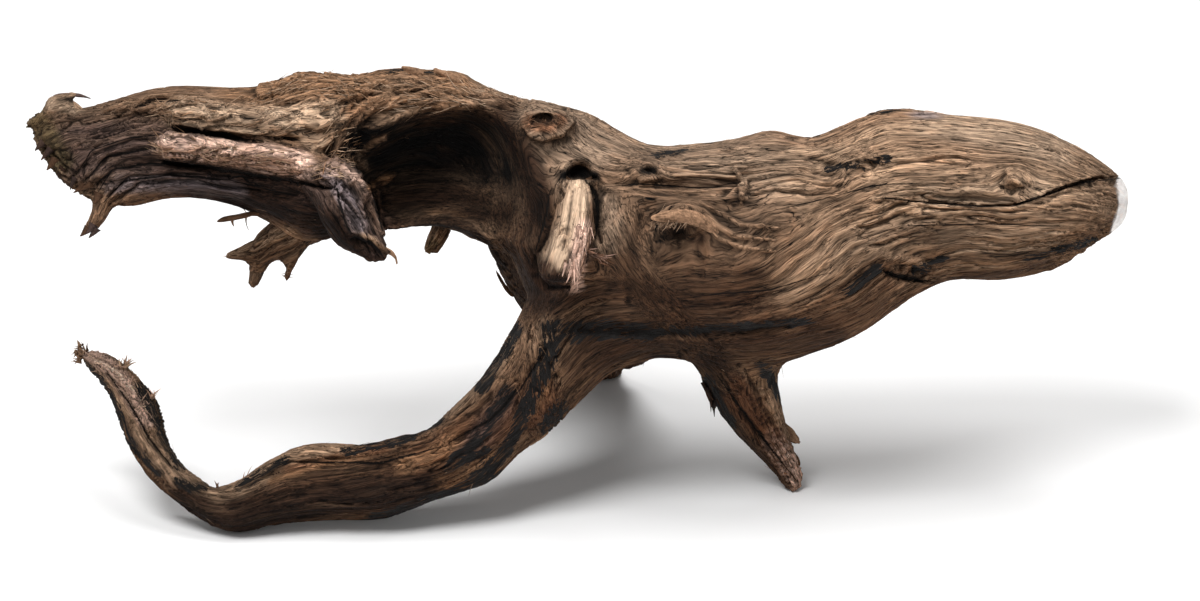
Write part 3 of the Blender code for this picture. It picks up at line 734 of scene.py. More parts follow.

# Colour, drawn line, half width in half millimetres, strength, and the side it is on (0: both).
# The rows in shade brown and in the near-black hollow colour are painted shade, in hollows, holes
# and cracks, under ledges and flaps and on shaded and lower faces; other painted shade and painted
# light is marked on its rows.
TINTS = [
    (GREY_BROWN, [(560, 150), (640, 180), (740, 200)], 55, 0.7, -1),
    (BROWN * 0.72, [(610, 200), (680, 215), (770, 235)], 38, 0.8, -1),
    # Painted shade: the lower trunk darker, as under light from above, on this row and the next
    # two.
    (DARK_BROWN, [(560, 280), (640, 275), (740, 288)], 32, 0.9, -1),
    (SHADE_BROWN, [(600, 345), (680, 348), (760, 350), (830, 338)], 18, 0.7, 0),
    (DARK_BROWN, [(560, 310), (650, 318), (760, 318)], 26, 0.7, 0),
    (TAN, [(850, 150), (950, 160), (1080, 190)], 45, 0.3, 0),
    (PALE_TAN, [(930, 122), (1000, 130), (1060, 150)], 16, 0.5, 0),
    # Painted light: the head's middle and lower bands lighter where the light falls off, on this
    # row and the next.
    (TAN * 1.3, [(900, 180), (980, 200), (1080, 212)], 34, 0.6, 0),
    (TAN * 1.2, [(900, 252), (1000, 258), (1066, 240)], 14, 0.6, 0),
    (PLUM_BROWN, [(80, 150), (150, 150), (250, 180), (330, 205)], 34, 0.9, 0),
    (SHADE_BROWN, [(200, 190), (260, 196), (300, 212), (350, 236), (392, 262)], 15, 0.95, 0),
    (PLUM_BROWN * 1.4, [(340, 170), (370, 210), (385, 250)], 18, 0.7, 0),
    (LAVENDER, [(330, 176), (350, 200), (362, 226)], 8, 0.7, -1),
    (LAVENDER * 0.8, [(120, 184), (170, 184), (230, 188)], 9, 0.5, -1),
    (ORANGE_TAN, [(240, 100), (320, 92), (450, 88)], 22, 0.5, 0),
    (PALE_TAN, [(180, 112), (250, 122), (330, 116)], 15, 0.75, -1),
    (RAW_PINK, [(168, 146), (215, 150), (300, 164)], 13, 0.95, -1),
    (HOLLOW_SHADE_BLACK, [(176, 129), (205, 133), (236, 138)], 3.5, 0.9, -1),
    (SHADE_BROWN, [(180, 164), (240, 174), (300, 184)], 4, 0.85, -1),
    (SHADE_BROWN, [(100, 186), (112, 166), (150, 160), (200, 163)], 3, 0.6, -1),
    (SHADE_BROWN, [(440, 190), (520, 215), (535, 290)], 34, 0.7, -1),
    (SHADE_BROWN, [(530, 165), (540, 200), (535, 250), (548, 300)], 14, 0.7, -1),
    # Painted shade in the hollow under the arch, partly the dark wood inside it, on this row and
    # the next.
    (HOLLOW_SHADE_BLACK, [(365, 150), (430, 142), (490, 138), (510, 160)], 27, 1.0, -1),
    (HOLLOW_SHADE_BLACK, [(360, 178), (420, 170), (480, 174)], 15, 0.9, -1),
    (GREY_BROWN * 2.0, [(361, 152), (372, 144), (386, 136)], 2.5, 0.9, -1),
    (GREY_BROWN * 0.8, [(360, 160), (367, 168)], 5, 0.7, -1),
    (ORANGE_TAN * 0.9, [(371, 187), (382, 181), (390, 177)], 4, 0.8, -1),
    (HOLLOW_SHADE_BLACK, [(377, 184), (382, 182)], 1.8, 0.9, -1),
    (RAW_PINK * 0.75, [(330, 169), (345, 172), (359, 182)], 6, 0.85, -1),
    (HOLLOW_SHADE_BLACK, [(353, 189), (357, 199)], 4, 0.85, -1),
    (TAN, [(352, 230), (373, 239), (388, 254)], 2.5, 0.8, -1),
    # Painted highlight on the lit lump right of the stub; the next row is painted shade beside it,
    # and the one after is painted shade on the stub's right side.
    (GREY_BROWN * 1.2, [(605, 200), (611, 222), (604, 244)], 12, 0.75, -1),
    (DARK_BROWN, [(646, 212), (636, 240), (628, 262)], 7, 0.5, -1),
    (DARK_BROWN, [(588, 184), (592, 205), (591, 222)], 4, 0.6, -1),
    (SHADE_BROWN, [(385, 200), (450, 194), (500, 212)], 13, 0.85, -1),
    (SHADE_BROWN * 1.1, [(506, 108), (516, 134), (525, 160), (536, 186), (540, 215)], 13, 0.8, -1),
    (
        SHADE_BROWN * 0.6, [(386, 226), (420, 222), (450, 222), (470, 230), (486, 246),
        (502, 266)], 5.5, 0.9, -1
    ),
    (ORANGE_TAN * 0.8, [(428, 212), (448, 211), (466, 217)], 2.5, 0.6, -1),
    (DARK_BROWN, [(420, 122), (460, 115), (498, 117)], 7, 0.5, -1),
    (MOSS * 1.3, [(434, 243), (427, 251), (420, 260)], 4.5, 0.4, 0),
    (GREY_BROWN, [(535, 112), (575, 128), (600, 150)], 18, 0.6, -1),
    (RED_BROWN, [(530, 122), (545, 125), (560, 121)], 8, 0.9, -1),
    (HOLLOW_SHADE_BLACK, [(530, 119), (545, 121), (558, 118)], 3.5, 0.85, -1),
    (PALE_TAN, STUB, STUB_WIDTH, 0.9, -1),
    (RAW_PINK, [(584, 228), (577, 262), (573, 284)], 8, 0.9, -1),
    (SHADE_BROWN, [(546, 266), (556, 278), (566, 284)], 8, 1.0, -1),
    (HOLLOW_SHADE_BLACK, [(564, 175), (579, 172), (594, 177)], 6, 1.0, -1),
    (HOLLOW_SHADE_BLACK, [(642, 172), (654, 170)], 4, 0.95, -1),
    (HOLLOW_SHADE_BLACK, [(666, 234), (682, 235)], 6, 0.9, -1),
    (SHADE_BROWN, [(664, 228), (690, 232), (700, 240)], 7, 0.6, -1),
    (HOLLOW_SHADE_BLACK, [(600, 186), (600, 236)], 2.5, 0.8, -1),
    (HOLLOW_SHADE_BLACK, [(888, 274), (920, 279)], 3.5, 0.85, -1),
    (HOLLOW_SHADE_BLACK, [(1016, 205), (1060, 188), (1118, 178)], 1.2, 0.9, -1),
    (DARK_BROWN, [(590, 350), (530, 390), (470, 440), (400, 455)], 34, 0.65, 0),
    (RED_BROWN, [(540, 400), (470, 440), (420, 465)], 20, 0.6, 0),
    (PLUM_BROWN, [(505, 400), (478, 440)], 14, 0.5, -1),
    (SHADE_BROWN, [(440, 488), (330, 494), (240, 518), (190, 500)], 22, 0.95, 0),
    (DARK_BROWN, [(400, 462), (330, 474), (262, 492)], 14, 0.6, 0),
    (ORANGE_TAN, [(492, 458), (470, 474), (440, 482)], 8, 0.6, -1),
    (TAN, [(262, 462), (300, 453), (350, 448)], 6, 0.7, 0),
    (TAN, [(140, 440), (180, 476), (220, 494), (262, 476)], 8, 0.7, -1),
    (RAW_PINK, [(80, 350), (96, 356), (118, 374), (134, 400), (146, 420)], 8, 0.85, -1),
    (SHADE_BROWN, [(715, 375), (745, 425), (780, 470)], 24, 0.75, 0),
    (RED_BROWN, [(730, 400), (765, 440), (785, 470)], 7, 0.5, -1),
    (RAW_PINK, [(774, 440), (790, 466), (802, 488)], 10, 0.9, -1),
    (BROWN, [(225, 256), (270, 240), (300, 225)], 14, 0.4, 0),
    (TAN * 1.25, [(228, 254), (262, 241), (290, 234)], 8, 0.6, -1),
    (MOSS, [(36, 120), (48, 138), (60, 160)], 12, 0.55, 0),
    (LAVENDER, [(916, 115), (938, 115)], 4, 0.7, -1),
    (SHADE_BROWN * 0.6, [(230, 196), (270, 206), (312, 222), (350, 240)], 11, 0.8, -1),
    (SHADE_BROWN * 0.7, [(390, 206), (440, 202), (480, 212)], 12, 0.7, -1),
    (SHADE_BROWN * 0.7, [(430, 488), (330, 492), (240, 512)], 11, 0.7, -1),
    (PALE_TAN, [(276, 116), (300, 130), (318, 142)], 10, 0.6, -1),
    (LAVENDER, [(110, 186), (150, 184), (200, 186), (240, 192)], 7, 0.5, -1),
    (LAVENDER * 1.2, [(338, 186), (350, 208), (356, 226)], 8, 0.6, -1),
    # Painted light: the head's lower and middle bands lighter where the light falls off, on this
    # row and the next.
    (PALE_TAN, [(950, 242), (1000, 246), (1050, 234)], 12, 0.55, -1),
    (PALE_TAN, [(930, 196), (985, 192), (1040, 190)], 12, 0.4, -1),
    (ORANGE_TAN, [(500, 468), (478, 482), (450, 489)], 4, 0.6, -1),
    (RED_BROWN * 1.4, [(384, 448), (335, 458), (288, 470)], 5, 0.5, -1),
    (ORANGE_TAN, [(366, 456), (318, 466), (270, 482)], 3, 0.5, -1),
    (ORANGE_TAN, [(548, 388), (532, 412), (512, 436)], 3, 0.5, -1),
    (SHADE_BROWN, [(960, 274), (1010, 274), (1050, 264)], 5, 0.6, 0),
    (PLUM_BROWN * 1.5, [(500, 405), (480, 430), (462, 448)], 6, 0.6, -1),
    (ORANGE_TAN, [(455, 440), (432, 456), (405, 466)], 9, 0.55, -1),
    (RED_BROWN * 1.3, [(738, 384), (756, 410), (776, 440)], 9, 0.6, -1),
    (TAN, [(768, 398), (778, 420), (794, 440)], 4, 0.6, -1),
    (PALE_TAN, [(52, 104), (64, 106), (76, 108)], 6, 0.7, -1),
    (HOLLOW_SHADE_BLACK, [(62, 99), (73, 100)], 3, 0.9, -1),
]
# Drawn line, half width in half millimetres and side.
SOOT_MARKS = [
    ([(550, 332), (590, 330), (645, 332)], 10, -1),
    ([(636, 332), (700, 330), (760, 326), (805, 322)], 4, -1),
    ([(548, 345), (535, 380), (528, 402), (512, 438), (490, 478)], 6, -1),
    ([(508, 392), (492, 418), (472, 447), (448, 468)], 7, -1),
    ([(486, 452), (462, 462)], 5, -1),
    ([(440, 420), (400, 441), (345, 452)], 4, 0),
    ([(557, 345), (541, 385), (524, 420), (500, 455), (470, 482)], 5, -1),
    ([(560, 408), (546, 428)], 8, 0),
    ([(500, 472), (450, 494), (400, 511), (368, 521)], 5, 0),
    ([(516, 328), (497, 360), (482, 386)], 7, -1),
    ([(78, 364), (95, 382), (110, 404), (122, 434)], 8, 0),
    ([(122, 430), (138, 452), (158, 472)], 4, -1),
    ([(142, 388), (152, 402), (164, 430), (180, 462)], 8, 0),
    ([(178, 482), (192, 488), (206, 486)], 4.5, -1),
    ([(240, 487), (262, 474), (286, 461)], 5, -1),
    ([(1028, 258), (1060, 250), (1094, 240)], 4, -1),
    ([(918, 270), (942, 262)], 6, -1),
    ([(850, 291), (862, 279), (876, 269)], 6, -1),
    ([(826, 169), (858, 165), (888, 159)], 4, -1),
    ([(655, 155), (684, 150)], 3, -1),
    ([(866, 114), (902, 109)], 1.8, -1),
    ([(762, 366), (774, 384), (786, 402)], 6, 0),
    ([(708, 380), (716, 402), (730, 424)], 6, 0),
    ([(386, 72), (404, 69)], 1.8, -1),
    ([(426, 73), (446, 70)], 1.8, -1),
    ([(650, 186), (720, 190), (780, 194)], 3.5, 1),
    ([(900, 250), (960, 244), (1020, 232)], 3.5, 1),
    ([(470, 430), (400, 464), (330, 482)], 5, 1),
    ([(330, 118), (380, 114), (430, 112)], 3.5, 1),
]


# Painted shade: slopes that face down are darkened, as under light from above, and upward slopes
# keep their colour; the undersides keep this share of their colour.
SHADED_TO_LIT_SLOPES = (-0.5, 0.75)
UNDERSIDE_SHADE = np.array([0.41, 0.335, 0.27])
PITH = (1124, 204, 8)
RING_GAP = 2.6


def blend(colours, colour, share):
    return colours * (1 - share[:, None]) + colour * share[:, None]


def painted_colours(grain, hollows):
    """The colour at each point, from the wood's streaks and its drawn tints, with painted shade
    in its hollows and on its undersides and painted highlights on its ridges.
    """
    count = len(grain.sheet)
    colours = np.tile(BROWN, (count, 1))
    colours = blend(colours, TAN, smooth_step(-0.35, 0.45, grain.noise(120, 22, 51)) * 0.8)
    colours = blend(colours, GREY_BROWN, smooth_step(0, 0.6, grain.noise(80, 30, 52)) * 0.5)
    edge = 1 + 0.35 * grain.noise(40, 7, 53)
    for colour, line, width, strength, facing in TINTS:
        share = np.clip(grain.patch(line, width, facing) * edge, 0, 1)
        colours = blend(colours, colour, share * strength)
    streak = grain.noise(70, 5, 54) + 0.7 * grain.noise(30, 2.2, 55)
    colours *= (1 + 0.34 * np.clip(streak, -1, 1))[:, None]
    dark_vein = smooth_step(0.3, 0.75, grain.noise(65, 3, 56))
    colours *= (1 - 0.45 * dark_vein)[:, None]
    # Painted shade darkens the hollows; a painted highlight, partly worn wood, lightens the ridges.
    colours *= (1 - 0.78 * smooth_step(0.0, 0.45, hollows))[:, None]
    colours *= (1 + 0.4 * smooth_step(0.0, 0.4, -hollows))[:, None]
    # Painted shade on the undersides.
    lit_from_above = smooth_step(*SHADED_TO_LIT_SLOPES, grain.upward)[:, None]
    colours *= UNDERSIDE_SHADE + (1 - UNDERSIDE_SHADE) * lit_from_above
    sawn = grain.patch(SAWN_END, SAWN_WIDTH, 0) * (grain.sheet[:, 0] > SAWN_FROM)
    from_pith = np.linalg.norm((grain.sheet - PITH) / (2, 2, 1), axis=1)
    ring = 1 + 0.13 * np.sin(2 * math.pi * from_pith / RING_GAP + noise3(grain.sheet / 9, 57))
    return blend(colours, SAWN_PALE * ring[:, None], smooth_step(*SAWN_EDGE, sawn))


def soot_reach(grain):
    """How near each point is to the middle of a charred mark: over 0.5 is charred."""
    marks = [grain.patch(line, width, facing) for line, width, facing in SOOT_MARKS]
    return np.max(marks, axis=0)


# ------------------------------------------------------------------ modelling helpers


def nothing_selected():
    if bpy.context.mode != "OBJECT":
        bpy.ops.object.mode_set(mode="OBJECT")
    for obj in bpy.context.view_layer.objects:
        obj.select_set(False)


def take_up(obj):
    """Makes the object the only one selected."""
    nothing_selected()
    obj.select_set(True)
    bpy.context.view_layer.objects.active = obj


def finish_with(obj, kind, **settings):
    """Adds a modifier and applies it."""
    take_up(obj)
    bpy.ops.object.modifier_add(type=kind)
    modifier = obj.modifiers[-1]
    for name, value in settings.items():
        setattr(modifier, name, value)
    bpy.ops.object.modifier_apply(modifier=modifier.name)


def in_edit(obj, *steps):
    take_up(obj)
    bpy.ops.object.mode_set(mode="EDIT")
    bpy.ops.mesh.select_all(action="SELECT")
    for step in steps:
        step()
    bpy.ops.object.mode_set(mode="OBJECT")


def read_points(mesh, what="co"):
    values = np.empty(len(mesh.vertices) * 3, np.float32)
    mesh.vertices.foreach_get(what, values)
    return values.reshape(-1, 3).astype(np.float64)


def write_points(mesh, points):
    mesh.vertices.foreach_set("co", points.astype(np.float32).ravel())
    mesh.update()


def store(mesh, name, values):
    """Keeps one number, vector or colour for each point, for the materials to read."""
    if values.ndim == 1:
        kind, field = "FLOAT", "value"
    elif values.shape[1] == 3:
        kind, field = "FLOAT_VECTOR", "vector"
    else:
        kind, field = "FLOAT_COLOR", "color"
    attribute = mesh.attributes.new(name, kind, "POINT")
    attribute.data.foreach_set(field, values.astype(np.float32).ravel())


# Rounds of averaging that say what lies hollow.
HOLLOW_ROUNDS = 3


def hollow_depth(mesh, points, normals):
    """How far each point lies below its neighbours, in millimetres."""
    edges = np.empty(len(mesh.edges) * 2, np.int32)
    mesh.edges.foreach_get("vertices", edges)
    a, b = edges.reshape(-1, 2).T
    count = np.bincount(np.concatenate([a, b]), minlength=len(points))[:, None]
    mean = points.copy()
    for _ in range(HOLLOW_ROUNDS):
        total = np.zeros_like(mean)
        for axis in range(3):
            total[:, axis] = np.bincount(a, mean[b, axis], len(mean))
            total[:, axis] += np.bincount(b, mean[a, axis], len(mean))
        mean = (total / count + mean) / 2
    return ((mean - points) * normals).sum(axis=1) / MM


# ------------------------------------------------------------------ the grained body


def grained_body():
    node = frame["nodes"][NODE]
    body = bpy.data.objects.new("grained_body", node.data.copy())
    bpy.context.scene.collection.objects.link(body)
    in_edit(body, lambda: bpy.ops.mesh.remove_doubles(threshold=WELD_GAP))
    finish_with(body, "SUBSURF", levels=1, render_levels=1)
    finish_with(body, "REMESH", mode="VOXEL", voxel_size=VOXEL)
    finish_with(body, "SMOOTH", factor=0.5, iterations=BODY_SMOOTHINGS)
    points = read_points(body.data)
    normals = read_points(body.data, "normal")
    rise = relief(Grain(points, normals))
    sole = smooth_step(0.0, SOLE_HEIGHT, points[:, 2] / MM)
    points += normals * (rise * sole)[:, None] * MM
    points[:, 2] = np.maximum(points[:, 2], 0)
    write_points(body.data, points)
    share = BODY_TRIANGLES / (2 * len(body.data.polygons))
    if share < 1:
        finish_with(body, "DECIMATE", ratio=share)
    take_up(body)
    bpy.ops.object.shade_smooth()
    mesh = body.data
    points = read_points(mesh)
    normals = read_points(mesh, "normal")
    grain = Grain(points, normals)
    hollows = hollow_depth(mesh, points, normals)
    colours = painted_colours(grain, hollows)
    # The stored colour holds painted shade and highlights besides the wood's own colour.
    store(mesh, "painted_colour", np.column_stack([np.clip(colours, 0, 1), np.ones(len(points))]))
    store(mesh, "grain_main", grain.main)
    store(mesh, "grain_limb", grain.limb)
    store(mesh, "limb_share", grain.share)
    store(mesh, "soot_reach", soot_reach(grain))
    store(mesh, "crack_place", crack_place(grain))
    sawn = smooth_step(*SAWN_EDGE, grain.patch(SAWN_END, SAWN_WIDTH, 0))
    store(mesh, "plain_share", np.maximum(sawn, 0.6 * grain.patch(STUB, STUB_WIDTH)))
    return body, grain


# ------------------------------------------------------------------ slivers and twigs

SHEET_RIGHT = np.array([1.0, 0, 0])
SHEET_DOWN = -np.array([0, math.sin(VIEW_TILT), math.cos(VIEW_TILT)])
SHEET_AWAY = -TOWARD_VIEWER


def grain_heading(points, normals):
    """Unit vectors on the surface that follow the grain towards the arm or the root."""
    step = 1.5
    moved = []
    for direction in (SHEET_RIGHT, SHEET_DOWN):
        for sign in (-1, 1):
            near = Grain(points + direction * sign * step * MM, normals)
            moved.append(near.main[:, 1] * (1 - near.share) + near.limb[:, 1] * near.share)
    right = moved[1] - moved[0]
    down = moved[3] - moved[2]
    heading = -down[:, None] * SHEET_RIGHT + right[:, None] * SHEET_DOWN
    heading -= (heading * normals).sum(axis=1)[:, None] * normals
    heading /= np.linalg.norm(heading, axis=1)[:, None] + 1e-9
    return heading * np.where(heading[:, :1] > 0, -1, 1)


def sliver_shape(sides, cuts):
    """One tapered sliver, 1 long from its root at the origin, 1 wide and 1 thick."""
    nothing_selected()
    bpy.ops.mesh.primitive_cone_add(
        vertices=sides, radius1=0.5, radius2=0.05, depth=1, location=(0.5, 0, 0), rotation=(
            0, math.pi / 2, 0
        )
    )
    sliver = bpy.context.object
    bpy.ops.object.transform_apply(location=True, rotation=True, scale=True)
    bpy.ops.object.mode_set(mode="EDIT")
    for place in cuts:
        bpy.ops.mesh.select_all(action="SELECT")
        bpy.ops.mesh.bisect(plane_co=(place, 0, 0), plane_no=(1, 0, 0))
    bpy.ops.mesh.select_all(action="SELECT")
    bpy.ops.mesh.quads_convert_to_tris()
    bpy.ops.mesh.normals_make_consistent(inside=False)
    bpy.ops.object.mode_set(mode="OBJECT")
    points = read_points(sliver.data)
    faces = np.array([list(face.vertices) for face in sliver.data.polygons])
    bpy.data.objects.remove(sliver)
    return points, faces


def lay_slivers(name, shape, roots, headings, outs, sizes, bends, colours):
    """Copies of one sliver in one mesh. A size is length, width and thickness in millimetres;
    a bend is how far the tip lifts, curls up and sways, as shares of the length."""
    points, faces = shape
    count = len(roots)
    sides = np.cross(outs, headings)
    sides /= np.linalg.norm(sides, axis=1)[:, None]
    outs = np.cross(headings, sides)
    x, y, z = points.T
    length, width, thick = (sizes.T * MM)[:, :, None]
    lift, curl, sway = bends.T[:, :, None]
    along = length * x
    across = width * y + length * sway * x**2
    up = thick * z + length * (lift * x + curl * x**2)
    made = (
        roots[:, None]
        + headings[:, None] * along[..., None]
        + sides[:, None] * across[..., None]
        + outs[:, None] * up[..., None]
    )
    made = made.reshape(-1, 3)
    made[:, 2] = np.maximum(made[:, 2], 0)
    mesh = bpy.data.meshes.new(name)
    all_faces = (faces[None] + len(points) * np.arange(count)[:, None, None]).reshape(-1, 3)
    mesh.from_pydata(made.tolist(), [], all_faces.tolist())
    tint = colours[:, None] * (0.72 + 0.4 * x)[None, :, None]
    store(
        mesh, "fibre_colour", np.column_stack([tint.reshape(-1, 3).clip(0, 1), np.ones(len(made))])
    )
    obj = bpy.data.objects.new(name, mesh)
    bpy.context.scene.collection.objects.link(obj)
    take_up(obj)
    bpy.ops.object.shade_smooth()
    return obj


def sheet_vector(right, down, away=0.0):
    """A unit vector in the world from a direction on the sheet."""
    vector = right * SHEET_RIGHT + down * SHEET_DOWN + away * SHEET_AWAY
    return vector / np.linalg.norm(vector)


class Surface:
    """Where slivers can be rooted on the grained body."""

    def __init__(self, body, grain):
        self.points = read_points(body.data)
        self.normals = read_points(body.data, "normal")
        self.grain = grain

    def under(self, places, facing=-1):
        """The nearest body point to each (u, v), on the front or the back, and its normal."""
        able = np.flatnonzero(facing * self.grain.facing > 0.1)
        sheet = self.grain.sheet[able]
        found = []
        for u, v in places:
            gap = np.hypot(sheet[:, 0] - u, sheet[:, 1] - v) + 0.25 * -facing * sheet[:, 2]
            found.append(able[np.argmin(gap)])
        return self.points[found], self.normals[found]

    def scatter(self, count, weights, draw):
        picked = draw.choice(len(self.points), count, p=weights / weights.sum())
        return self.points[picked], self.normals[picked]


def grown_with(draw, count, length, width, thick):
    low, high = length
    sizes = np.empty((count, 3))
    sizes[:, 0] = low + (high - low) * draw.random(count) ** 1.7
    sizes[:, 1] = draw.uniform(*width, count)
    sizes[:, 2] = draw.uniform(*thick, count)
    return sizes


def mixed(draw, count, *colours):
    """A colour for each sliver, somewhere between the given ones."""
    share = draw.dirichlet(np.full(len(colours), 0.5), count)
    return share @ np.array(colours) * draw.uniform(0.7, 1.15, count)[:, None]


def turned(headings, normals, angles):
    """The headings turned about the normals."""
    aside = np.cross(normals, headings)
    return headings * np.cos(angles)[:, None] + aside * np.sin(angles)[:, None]


def grain_slivers(
    name, surface, shape, weights, count, length, width, lift, curl, colours, seed, stray=0.25
):
    """Slivers torn up along the grain where the weights put them."""
    draw = np.random.default_rng(seed)
    points, normals = surface.scatter(count, weights, draw)
    headings = grain_heading(points, normals)
    headings *= np.where(draw.random(count) < 0.3, -1, 1)[:, None]
    headings = turned(headings, normals, draw.normal(0, stray, count))
    sizes = grown_with(draw, count, length, width, (width[0] * 0.6, width[1] * 0.6))
    bends = np.column_stack(
        [draw.uniform(*lift, count), draw.uniform(*curl, count), draw.normal(0, 0.12, count)]
    )
    roots = points - normals * 0.5 * MM
    return lay_slivers(
        name, shape, roots, headings, normals, sizes, bends, mixed(draw, count, *colours)
    )


def aimed_slivers(name, shape, roots, outs, aims, sizes, bends, colours):
    headings = np.array(aims, float)
    outs = outs - (outs * headings).sum(axis=1)[:, None] * headings
    outs /= np.linalg.norm(outs, axis=1)[:, None] + 1e-9
    return lay_slivers(name, shape, np.array(roots), headings, outs, sizes, bends, colours)


def sheet_matrix():
    shift = Matrix.Translation(Vector((-SHEET_MIDDLE[0], -SHEET_MIDDLE[1], 0)) * MM)
    return shift @ Matrix.Rotation(-VIEW_TILT, 4, "X")


def grow(name, spine, sizes, colour, sides=8):
    """A twig or flap drawn out on the sheet, section by section. The spine is its middles
    (u, v, depth); the sizes are half its width in the plane of the sheet and in depth."""
    lay_flat = sheet_matrix().inverted()
    middles = [lay_flat @ from_sheet(u, v, depth) for u, v, depth in spine]
    angles = []
    for i in range(len(middles)):
        step = middles[min(i + 1, len(middles) - 1)] - middles[max(i - 1, 0)]
        angles.append(math.atan2(step.x, step.z))
    nothing_selected()
    bpy.ops.mesh.primitive_circle_add(
        vertices=sides, radius=1, fill_type="NGON", location=(0, 0, 0)
    )
    piece = bpy.context.object
    piece.name = name
    piece.scale = (sizes[0][0] * MM, sizes[0][1] * MM, 1)
    piece.rotation_euler = (0, angles[0], 0)
    piece.location = middles[0]
    bpy.ops.object.transform_apply(location=True, rotation=True, scale=True)
    bpy.ops.object.mode_set(mode="EDIT")
    bpy.ops.mesh.select_all(action="SELECT")
    for i in range(1, len(middles)):
        bpy.ops.mesh.extrude_region_move(
            TRANSFORM_OT_translate={"value": middles[i] - middles[i - 1]}
        )
        turn = (angles[i] - angles[i - 1] + math.pi) % (2 * math.pi) - math.pi
        bpy.ops.transform.rotate(value=-turn, orient_axis="Y", center_override=middles[i])
        bpy.ops.transform.resize(
            value=(sizes[i][0] / sizes[i - 1][0],) * 3, center_override=middles[i]
        )
    bpy.ops.mesh.select_all(action="SELECT")
    bpy.ops.mesh.normals_make_consistent(inside=False)
    bpy.ops.object.mode_set(mode="OBJECT")
    finish_with(piece, "SUBSURF", levels=3, render_levels=3)
    mesh = piece.data
    points = read_points(mesh)
    normals = read_points(mesh, "normal")
    place = np.column_stack([points[:, 0], points[:, 2]])
    gap, along = line_gap(place, [(m.x, m.z) for m in middles])
    length = sum((b - a).length for a, b in zip(middles, middles[1:])) / MM
    grain = np.column_stack([along * length / 9, points[:, 1] / MM / 1.6, gap / MM / 1.6])
    roughness = 0.1 + 0.15 * max(size[0] for size in sizes)
    rise = roughness * noise3(grain, 71) + 0.5 * roughness * noise3(grain * 2.3, 72)
    points += normals * rise[:, None] * MM
    write_points(mesh, points)
    streak = 1 + 0.5 * noise3(grain * 1.3, 73) + 0.3 * noise3(grain * 2.9, 74)
    tint = np.array(colour)[None] * streak[:, None]
    store(mesh, "fibre_colour", np.column_stack([tint.clip(0, 1), np.ones(len(points))]))
    mesh.transform(sheet_matrix())
    take_up(piece)
    bpy.ops.object.shade_smooth()
    return piece


# Name, spine (u, v, depth), half sizes in millimetres and colour.
TWIGS = [
    (
        "hanging_twig", [(296, 212, -8), (272, 213, -8), (254, 213, -9), (242, 216, -10),
        (232, 218, -10), (224, 219, -10), (216, 222, -10)],
        [(2.6, 2.2), (1.9, 1), (1.3, 1), (1.2, 1), (2.0, 1), (1.5, 1), (0.5, 1)], DARK_BROWN
    ),
    (
        "hanging_twig_hook", [(247, 214, -9), (245, 222, -9), (249, 231, -9)],
        [(0.5, 0.5), (0.35, 1), (0.15, 1)], DARK_BROWN
    ),
    (
        "hanging_twig_spur", [(232, 216, -10), (232, 222, -10), (234, 227, -10)],
        [(0.9, 0.8), (0.7, 1), (0.3, 1)], DARK_BROWN
    ),
    (
        "knob_hook", [(380, 248, -38), (389, 251, -38), (396, 256, -38), (397, 265, -38)],
        [(2.2, 1.8), (1.5, 1), (1.0, 1), (0.4, 1)], BROWN
    ),
    (
        "flake_spike", [(52, 98, -12), (61, 95, -12), (71, 94.5, -12), (82, 95.5, -13),
        (92, 99, -14)], [(1.8, 1.8), (1.15, 1), (1.0, 1), (0.9, 1), (0.4, 1)], PLUM_BROWN
    ),
    (
        "flake_block", [(46, 112, -11), (54, 102, -12), (64, 101, -12), (74, 105, -12),
        (82, 112, -12)], [(3.2, 2.4), (3.0, 1), (2.2, 1), (2.4, 1), (1.8, 1)], TAN
    ),
    (
        "slate_spike", [(62, 113, -11), (50, 116, -11), (38, 121, -11), (25, 128, -11)],
        [(3.4, 1.4), (3.0, 1), (2.0, 1), (0.4, 1)], MOSS * 0.8
    ),
    (
        "leg_stump", [(778, 422, 35), (789, 433, 35), (795, 440, 35), (800, 443, 35)],
        [(3.6, 2.8), (3.0, 1), (2.1, 1), (0.8, 1)], BROWN * 0.7
    ),
    (
        "leg_chip", [(784, 446, 38), (796, 459, 38), (800, 467, 38)],
        [(2.8, 2.0), (2.0, 1), (0.9, 1)], DARK_BROWN
    ),
    (
        "root_spur", [(548, 430, -4), (538, 438, -6), (529, 446, -7)],
        [(2.6, 1.6), (1.6, 1), (0.3, 1)], BROWN
    ),
    (
        "top_spur", [(462, 84, -6), (450, 76, -6), (440, 72, -6), (433, 69, -6)],
        [(3.0, 2.0), (2.4, 1), (1.8, 1), (0.8, 1)], BROWN
    ),
    (
        "crest_spur", [(424, 76, -8), (412, 70, -8), (401, 67, -8)],
        [(2.6, 2.0), (2.0, 1), (0.8, 1)], BROWN
    ),
    (
        "curled_flap", [(722, 236, -41), (712, 228, -44), (702, 221, -47), (692, 217, -50),
        (681, 215.5, -52), (670, 216, -54), (660, 217.5, -55), (650, 218, -55)],
        [(1.5, 1.6), (2.6, 1), (3.5, 1), (3.9, 1), (3.7, 1), (3.1, 1), (2.2, 1), (0.7, 1)],
        BROWN * 1.2
    ),
]


